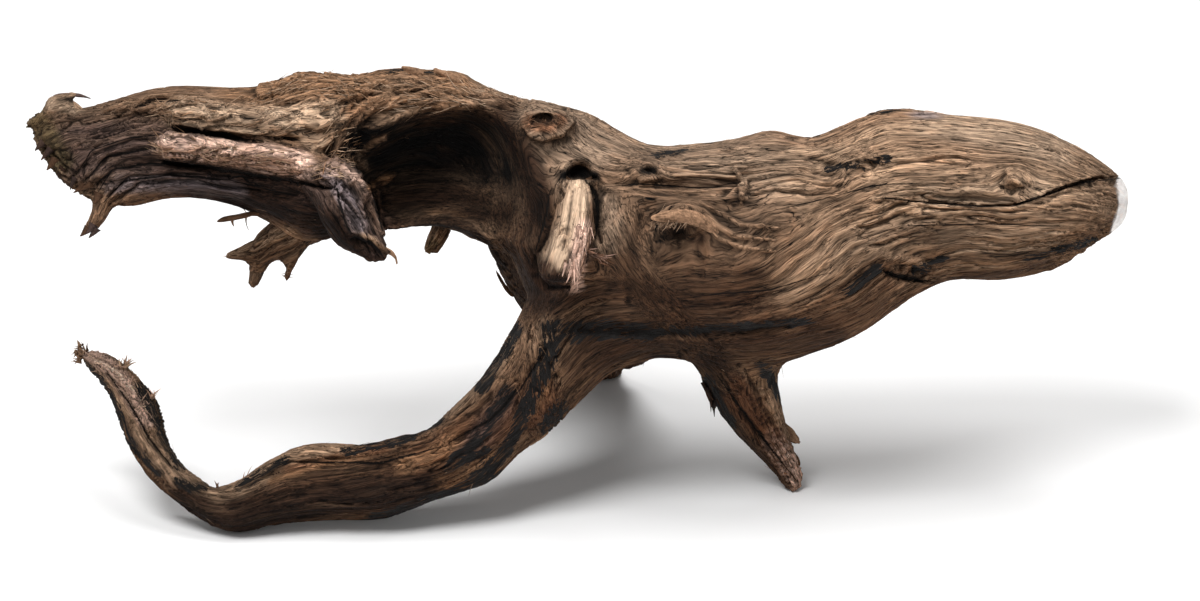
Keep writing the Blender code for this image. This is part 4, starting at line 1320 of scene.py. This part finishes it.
def torn_pieces(body, grain):
    surface = Surface(body, grain)
    fibre = sliver_shape(3, (0.25, 0.5, 0.75))
    shard = sliver_shape(4, (0.3, 0.6, 0.85))
    both_sides = lambda marks: np.max(
        [grain.patch(line, width, 0) for line, width in marks], axis=0
    )
    front = grain.front
    arm_top = both_sides([
        ([(172, 104), (240, 114), (330, 120)], 14),
        ([(165, 145), (230, 150), (300, 158)], 10),
        ([(290, 92), (326, 126), (336, 156)], 20),
        ([(300, 84), (360, 92), (440, 94)], 14),
    ])
    made = [
        grain_slivers(
            "torn_fibres", surface, fibre, arm_top * (0.2 + front) + 1e-9, 2200, (3, 10),
            (0.45, 1.3), (0.0, 0.13), (-0.1, 0.08), (TAN, ORANGE_TAN, PALE_TAN, BROWN), 101, 0.18
        ),
        grain_slivers(
            "lip_fibres", surface, fibre, both_sides([([(400, 108), (440, 102), (515, 100)],
            8)]) * front + 1e-9, 170, (5, 16), (0.5, 1.2), (0.0, 0.07), (-0.05, 0.04),
            (TAN, BROWN, PALE_TAN), 102, 0.08
        ),
        grain_slivers(
            "loose_hairs", surface, fibre, both_sides([([(240, 104), (280, 128), (305, 110)],
            14)]) * front + 1e-9, 22, (5, 11), (0.2, 0.32), (0.2, 0.6), (-0.7, 0.1),
            (PALE_TAN, TAN), 103, 0.9
        ),
        grain_slivers(
            "scattered_slivers", surface, fibre, np.ones(len(grain.front)), 1100, (2.5, 9),
            (0.3, 0.8), (0.0, 0.16), (-0.1, 0.1), (BROWN, TAN, DARK_BROWN), 104
        ),
        grain_slivers(
            "leg_slivers", surface, fibre, both_sides([([(745, 400), (775, 450), (798, 480)],
            18)]) + 1e-9, 160, (3, 11), (0.4, 1.0), (0.0, 0.2), (-0.1, 0.15),
            (BROWN, RED_BROWN, DARK_BROWN), 105
        ),
        grain_slivers(
            "root_tip_slivers", surface, fibre, both_sides([([(95, 358), (120, 376), (142, 408)],
            7)]) + 1e-9, 130, (2.5, 8), (0.4, 0.9), (0.05, 0.5), (-0.2, 0.3),
            (PALE_TAN, PINK_WOOD, TAN), 106, 0.5
        ),
        grain_slivers(
            "stub_end_slivers", surface, fibre, both_sides([([(420, 250), (430, 240)], 8),
            ([(246, 286), (226, 256)], 6), ([(285, 274), (282, 264)], 5)]) + 1e-9, 44, (2, 5),
            (0.4, 0.8), (0.0, 0.08), (-0.06, 0.05), (TAN, BROWN), 107
        ),
    ]
    draw = np.random.default_rng(111)
    roots, aims, outs = [], [], []
    tip = np.argsort(grain.sheet[:, 0] + 0.4 * grain.sheet[:, 1] + 1e4 * (grain.sheet[:, 1] < 300))[
        :60
    ]
    for _ in range(64):
        roots.append(surface.points[draw.choice(tip)] + draw.normal(0, 1.1, 3) * MM)
        aims.append(
            sheet_vector(-0.7 + draw.normal(0, 0.6), -0.25 + draw.normal(0, 0.9),
            draw.normal(0, 0.7))
        )
        outs.append(sheet_vector(draw.normal(), draw.normal(), draw.normal()))
    count = len(roots)
    made.append(
        aimed_slivers("root_tip_tuft", shard, roots, np.array(outs), aims,
        grown_with(draw, count, (2.5, 5.5), (1.2, 2.8), (0.5, 1.1)),
        draw.normal(0, 0.3, (count, 3)), mixed(draw, count, BROWN, TAN, DARK_BROWN))
    )
    places = [(118 + 10 * draw.random() ** 0.5, 362 + 8 * draw.random()) for _ in range(16)] + [
        (150 + 5 * draw.random(), 395 + 8 * draw.random()) for _ in range(9)
    ]
    places += [(242 + 5 * draw.random(), 474 + 4 * draw.random()) for _ in range(4)] + [
        (214 + 6 * draw.random(), 484) for _ in range(3)
    ]
    points, normals = surface.under(places)
    count = len(places)
    aims = [
        sheet_vector(0.15 + draw.normal(0, 0.5), -1 + draw.normal(0, 0.3),
        draw.normal(0, 0.4)) for _ in range(count)
    ]
    made.append(
        aimed_slivers("root_frays", shard, points, normals, aims,
        grown_with(draw, count, (3, 6.5), (0.9, 2.2), (0.4, 0.8)),
        np.column_stack([draw.uniform(0, 0.3, count), draw.uniform(-0.7, 0.3, count),
        draw.normal(0, 0.4, count)]), mixed(draw, count, TAN, PINK_WOOD, BROWN))
    )
    places = [(586 - 13 * t + draw.normal(0, 4), 226 + 44 * t) for t in draw.random(64)]
    points, normals = surface.under(places)
    count = len(places)
    aims = [
        sheet_vector(-0.22 + draw.normal(0, 0.16), 1,
        -0.1 + draw.normal(0, 0.12)) for _ in range(count)
    ]
    made.append(
        aimed_slivers("pink_splinters", shard, points, normals, aims,
        grown_with(draw, count, (5, 13), (1.2, 3.0), (0.8, 1.6)),
        np.column_stack([draw.uniform(0.02, 0.24, count), draw.uniform(-0.08, 0.1, count),
        draw.normal(0, 0.1, count)]), mixed(draw, count, RAW_PINK * 1.15, RAW_PINK, PINK_WOOD,
        RED_BROWN * 0.6))
    )
    places = [(589 + 12 * t, 252 + 6 * t + draw.normal(0, 2.5)) for t in draw.random(22)]
    points, normals = surface.under(places)
    count = len(places)
    aims = [
        sheet_vector(1, 0.35 + draw.normal(0, 0.3),
        -0.3 + draw.normal(0, 0.2)) for _ in range(count)
    ]
    made.append(
        aimed_slivers("red_splinters", shard, points, normals, aims,
        grown_with(draw, count, (4, 9), (0.8, 1.8), (0.6, 1.0)),
        np.column_stack([draw.uniform(0, 0.3, count), draw.uniform(-0.2, 0.1, count),
        draw.normal(0, 0.15, count)]), mixed(draw, count, RED_BROWN, PINK_WOOD * 0.8, DARK_BROWN))
    )
    places = [(688 - 36 * t, 221 + draw.normal(0, 1.5)) for t in draw.random(40)]
    points, normals = surface.under(places)
    count = len(places)
    points = np.array([np.array(from_sheet(u, v + 3, -54 - draw.random() * 3)) for u, v in places])
    aims = [
        sheet_vector(-0.5 + draw.normal(0, 0.35), 1,
        -0.1 + draw.normal(0, 0.3)) for _ in range(count)
    ]
    made.append(
        aimed_slivers("flap_frays", fibre, points, normals, aims,
        grown_with(draw, count, (1.5, 3.6), (0.5, 1.1), (0.3, 0.7)),
        draw.normal(0, 0.25, (count, 3)), mixed(draw, count, TAN, BROWN, GREY_BROWN))
    )
    edge = [
        (38, 146), (46, 154), (50, 161), (58, 172), (68, 182), (78, 187), (85, 190), (94, 198),
        (88, 226), (84, 232), (90, 234)
    ]
    places = [(u + 5 + draw.normal(0, 1), v - 4 + draw.normal(0, 1)) for u, v in edge]
    points, normals = surface.under(places)
    count = len(places)
    aims = [sheet_vector(-0.8 + draw.normal(0, 0.3), 1, draw.normal(0, 0.2)) for _ in range(count)]
    made.append(
        aimed_slivers("arm_edge_shards", shard, points, normals, aims,
        grown_with(draw, count, (6, 9.5), (4, 7.0), (1.8, 3.0)),
        np.column_stack([draw.uniform(-0.1, 0.05, count), draw.normal(0, 0.05, count),
        draw.normal(0, 0.15, count)]), mixed(draw, count, PLUM_BROWN * 0.8, SHADE_BROWN,
        DARK_BROWN))
    )
    places = [(703 + draw.normal(0, 1.5), 380 + 24 * t) for t in draw.random(12)]
    points, normals = surface.under(places)
    count = len(places)
    aims = [sheet_vector(0.05 + 0.35 * draw.random(), 1, draw.normal(0, 0.15)) for _ in places]
    made.append(
        aimed_slivers("leg_shards", shard, points, normals, aims,
        grown_with(draw, count, (6, 10), (3.0, 5.0), (2.0, 3.2)),
        np.column_stack([draw.uniform(0, 0.15, count), draw.normal(0, 0.08, count),
        draw.normal(0, 0.2, count)]), mixed(draw, count, DARK_BROWN, SOOT * 1.5, SHADE_BROWN))
    )
    left_edge = np.flatnonzero(
        (np.abs(grain.sheet[:, 1] - 292) < 4) & (grain.sheet[:, 0] > 470) & (grain.sheet[:,
        0] < 560)
    )
    corner = grain.sheet[left_edge[np.argmin(grain.sheet[left_edge, 0])]]
    away = np.array([(6, 8, 0), (-2, 0, 0), (-8, -10, -1), (-13, -20, -2)])
    made.append(
        grow("rear_splinter", [tuple(point) for point in corner + away],
        [(1.6, 1.2), (1.3, 1), (0.9, 1), (0.3, 1)], DARK_BROWN)
    )
    made.append(
        grain_slivers("knot_fibres", surface, fibre,
        both_sides([([(530, 122), (558, 121)], 6)]) * front + 1e-9, 90, (2, 5), (0.5, 1.1),
        (0.0, 0.4), (-0.3, 0.3), (RED_BROWN, BROWN, DARK_BROWN), 112, 1.2)
    )
    made += [grow(name, spine, sizes, colour) for name, spine, sizes, colour in TWIGS]
    return made


def torn_wood():
    wood = Nodes("torn_wood")
    place = wood.add("ShaderNodeTexCoord").outputs["Object"]
    fine = {"Vector": place, "Scale": 900.0, "Detail": 3.0, "Roughness": 0.6}
    coarse = {"Vector": place, "Scale": 220.0, "Detail": 2.0}
    grit = wood.add("ShaderNodeTexNoise", fine).outputs[0]
    patchy = wood.add("ShaderNodeTexNoise", coarse).outputs[0]
    tone = wood.math(
        "ADD", wood.ramp(grit, 0.3, 0.7, 0.72, 1.25), wood.ramp(patchy, 0.3, 0.7, -0.15, 0.15)
    )
    grey = wood.add("ShaderNodeCombineColor", {0: tone, 1: tone, 2: tone}).outputs[0]
    wood.feed(
        "Base Color", wood.mix(1.0, wood.attribute("fibre_colour", "Color"), grey, "MULTIPLY")
    )
    wood.feed("Roughness", wood.ramp(grit, 0.3, 0.7, 0.92, 0.78))
    wood.feed("Specular IOR Level", 0.14)
    bump = wood.add("ShaderNodeBump", {"Height": grit, "Strength": 0.6, "Distance": 0.4 * MM})
    wood.feed("Normal", bump.outputs[0])
    return wood.material


# ------------------------------------------------------------------ materials


class Nodes:
    """A material's nodes, laid down one after another."""

    def __init__(self, name):
        self.material = bpy.data.materials.new(name)
        self.material.use_nodes = True
        self.tree = self.material.node_tree
        self.shader = self.tree.nodes["Principled BSDF"]

    def add(self, kind, inputs=(), **settings):
        node = self.tree.nodes.new(kind)
        for name, value in settings.items():
            setattr(node, name, value)
        for name, value in dict(inputs).items():
            if isinstance(value, bpy.types.NodeSocket):
                self.tree.links.new(value, node.inputs[name])
            else:
                node.inputs[name].default_value = value
        return node

    def feed(self, name, value):
        if isinstance(value, bpy.types.NodeSocket):
            self.tree.links.new(value, self.shader.inputs[name])
        else:
            self.shader.inputs[name].default_value = value

    def attribute(self, name, output="Fac"):
        return self.add("ShaderNodeAttribute", attribute_name=name).outputs[output]

    def math(self, operation, a, b=0.0, clamp=False):
        node = self.add("ShaderNodeMath", {0: a, 1: b}, operation=operation, use_clamp=clamp)
        return node.outputs[0]

    def ramp(self, value, low, high, first=0.0, last=1.0):
        node = self.add(
            "ShaderNodeMapRange", {"Value": value, "From Min": low, "From Max": high,
            "To Min": first, "To Max": last}
        )
        node.interpolation_type = "SMOOTHSTEP"
        return node.outputs[0]

    def mix(self, share, a, b, blend="MIX"):
        node = self.add("ShaderNodeMix", data_type="RGBA", blend_type=blend, clamp_factor=True)
        for socket, value in ((node.inputs[0], share), (node.inputs[6], a), (node.inputs[7], b)):
            if isinstance(value, bpy.types.NodeSocket):
                self.tree.links.new(value, socket)
            else:
                socket.default_value = value
        return node.outputs[2]

    def grain_noise(self, vector, along, across, detail=2.0, roughness=0.55):
        scaled = self.add(
            "ShaderNodeMapping", {"Vector": vector, "Scale": (1 / along, 1 / across, 1 / across)}
        )
        noise = self.add(
            "ShaderNodeTexNoise", {"Vector": scaled.outputs[0], "Scale": 1.0, "Detail": detail,
            "Roughness": roughness}
        )
        return noise.outputs[0]


def rgba(colour):
    return (*[float(part) for part in colour], 1.0)


def weathered_wood():
    wood = Nodes("weathered_wood")
    main = wood.attribute("grain_main", "Vector")
    limb = wood.attribute("grain_limb", "Vector")
    share = wood.attribute("limb_share")

    def both(along, across, detail=2.0, roughness=0.55):
        a = wood.grain_noise(main, along, across, detail, roughness)
        b = wood.grain_noise(limb, along, across, detail, roughness)
        return wood.add("ShaderNodeMix", {0: share, 2: a, 3: b}, data_type="FLOAT").outputs[0]

    hair = both(9.0, 0.55, 3.0, 0.6)
    streak = both(34.0, 1.7, 3.0, 0.6)
    blotch = both(11.0, 4.5, 3.0, 0.65)
    check = both(30.0, 1.3, 2.0, 0.5)
    line = wood.math("ABSOLUTE", wood.math("SUBTRACT", check, 0.5))
    line = wood.ramp(line, 0.0, 0.045, 1.0, 0.0)
    line = wood.math("MULTIPLY", line, wood.ramp(blotch, 0.34, 0.55))
    # This colour carries painted shade and highlights.
    colour = wood.attribute("painted_colour", "Color")
    tone = wood.math(
        "ADD", wood.ramp(hair, 0.3, 0.7, -0.36, 0.34), wood.ramp(streak, 0.32, 0.68, -0.38, 0.32)
    )
    tone = wood.math("ADD", tone, wood.ramp(blotch, 0.3, 0.7, -0.12, 0.12))
    tone = wood.math("ADD", tone, wood.math("MULTIPLY", line, -0.6))
    tone = wood.math(
        "MULTIPLY", tone, wood.ramp(wood.attribute("plain_share"), 0.0, 1.0, 1.0, 0.12)
    )
    tone = wood.math("ADD", tone, 1.0)
    grey = wood.add("ShaderNodeCombineColor", {0: tone, 1: tone, 2: tone}).outputs[0]
    shaded = wood.mix(1.0, colour, grey, "MULTIPLY")
    warm = wood.ramp(blotch, 0.48, 0.74, 0.0, 0.26)
    shaded = wood.mix(warm, shaded, wood.mix(1.0, shaded, (1.22, 0.96, 0.78, 1), "MULTIPLY"))
    reach = wood.attribute("soot_reach")
    ragged = wood.math("ADD", reach, wood.ramp(streak, 0.3, 0.7, -0.75, 0.75))
    ragged = wood.math("ADD", ragged, wood.ramp(blotch, 0.3, 0.7, -0.45, 0.45))
    ragged = wood.math("ADD", ragged, wood.ramp(hair, 0.3, 0.7, -0.3, 0.3))
    soot = wood.ramp(ragged, 0.5, 0.66)
    soot = wood.math("MULTIPLY", soot, wood.ramp(reach, 0.05, 0.3))
    charred = wood.mix(wood.ramp(blotch, 0.4, 0.62), rgba(SOOT), rgba(PALE_SOOT))
    charred = wood.mix(wood.ramp(hair, 0.3, 0.5, 0.35, 0.0), charred, rgba(SOOT * 0.4))
    crack = wood.add("ShaderNodeSeparateXYZ", {0: wood.attribute("crack_place", "Vector")})
    ragged = wood.math(
        "ADD", wood.math("ABSOLUTE", crack.outputs[0]), wood.ramp(streak, 0.3, 0.7, -0.5, 0.5)
    )
    opened = wood.math("MULTIPLY", wood.ramp(ragged, 0.5, 1.0, 1.0, 0.0), crack.outputs[1])
    coloured = wood.mix(soot, shaded, charred)
    # Painted shade: open cracks are painted near-black.
    wood.feed(
        "Base Color", wood.mix(wood.math("MULTIPLY", opened, 0.93), coloured, rgba(HOLLOW_SHADE_BLACK))
    )
    rough = wood.ramp(hair, 0.3, 0.7, 0.92, 0.74)
    wood.feed("Roughness", wood.math("SUBTRACT", rough, wood.math("MULTIPLY", soot, 0.12)))
    wood.feed("Specular IOR Level", 0.14)
    height = wood.math("ADD", wood.math("MULTIPLY", hair, 0.5), wood.math("MULTIPLY", streak, 1.0))
    height = wood.math("ADD", height, wood.math("MULTIPLY", line, -0.45))
    height = wood.math(
        "MULTIPLY", height, wood.ramp(wood.attribute("plain_share"), 0.0, 1.0, 1.0, 0.1)
    )
    height = wood.math("ADD", height, wood.math("MULTIPLY", opened, -0.8))
    bump = wood.add("ShaderNodeBump", {"Height": height, "Strength": 1.0, "Distance": 2.0 * MM})
    wood.feed("Normal", bump.outputs[0])
    return wood.material


def floor_material():
    floor = Nodes("pale_floor")
    place = floor.add("ShaderNodeTexCoord").outputs["Object"]
    broad = {"Vector": place, "Scale": 3.0, "Detail": 2.0}
    mottle = floor.add("ShaderNodeTexNoise", broad).outputs[0]
    floor.feed("Base Color", floor.mix(mottle, (0.86, 0.86, 0.86, 1), (0.9, 0.9, 0.9, 1)))
    floor.feed("Roughness", 0.9)
    floor.feed("Specular IOR Level", 0.1)
    return floor.material


# ------------------------------------------------------------------ floor, light and camera

VIEW_LENS = 150
SENSOR_WIDTH = 36
CLEAR_REACH = 20
FLOOR_SIZE = 12
SKY_COLOUR = (1.0, 0.99, 0.98, 1)
SKY_STRENGTH = 0.34
LIT_POINT = (0, 0, 0.08)
# Name, place and width in metres, and power in watts.
LIGHTS = [
    ("key", (-0.6, -0.75, 1.9), 0.9, 33),
    ("top", (0.4, 0.35, 2.1), 1.4, 30),
    ("fill", (1.6, -1.8, 1.1), 1.6, 3),
]


def studio():
    nothing_selected()
    bpy.ops.mesh.primitive_plane_add(size=FLOOR_SIZE, location=(0, 0, 0))
    floor = bpy.context.object
    floor.name = "floor"
    floor.data.materials.append(floor_material())
    world = bpy.context.scene.world or bpy.data.worlds.new("studio")
    bpy.context.scene.world = world
    world.use_nodes = True
    sky = world.node_tree.nodes["Background"]
    sky.inputs["Color"].default_value = SKY_COLOUR
    sky.inputs["Strength"].default_value = SKY_STRENGTH
    for name, place, size, power in LIGHTS:
        lamp = bpy.data.lights.new(name, "AREA")
        lamp.shape = "DISK"
        lamp.size = size
        lamp.energy = power
        light = bpy.data.objects.new(name, lamp)
        light.location = place
        aim = Vector(LIT_POINT) - Vector(place)
        light.rotation_euler = aim.to_track_quat("-Z", "Y").to_euler()
        bpy.context.scene.collection.objects.link(light)
    lens = bpy.data.cameras.new("viewer")
    lens.lens = VIEW_LENS
    lens.sensor_width = SENSOR_WIDTH
    lens.clip_end = CLEAR_REACH
    camera = bpy.data.objects.new("viewer", lens)
    back = Vector(TOWARD_VIEWER) * VIEW_DISTANCE * MM
    camera.location = from_sheet(2 * SHEET_CORNER[0], EYE_LEVEL, 0) + back
    camera.rotation_euler = Euler((math.pi / 2 - VIEW_TILT, 0, 0))
    bpy.context.scene.collection.objects.link(camera)
    bpy.context.scene.camera = camera
    bpy.context.scene.view_settings.view_transform = "Standard"


body, body_grain = grained_body()
body.data.materials.clear()
body.data.materials.append(weathered_wood())
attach(body, "root")
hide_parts(NODE)
torn = torn_wood()
for piece in torn_pieces(body, body_grain):
    piece.data.materials.append(torn)
    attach(piece, "root")
studio()
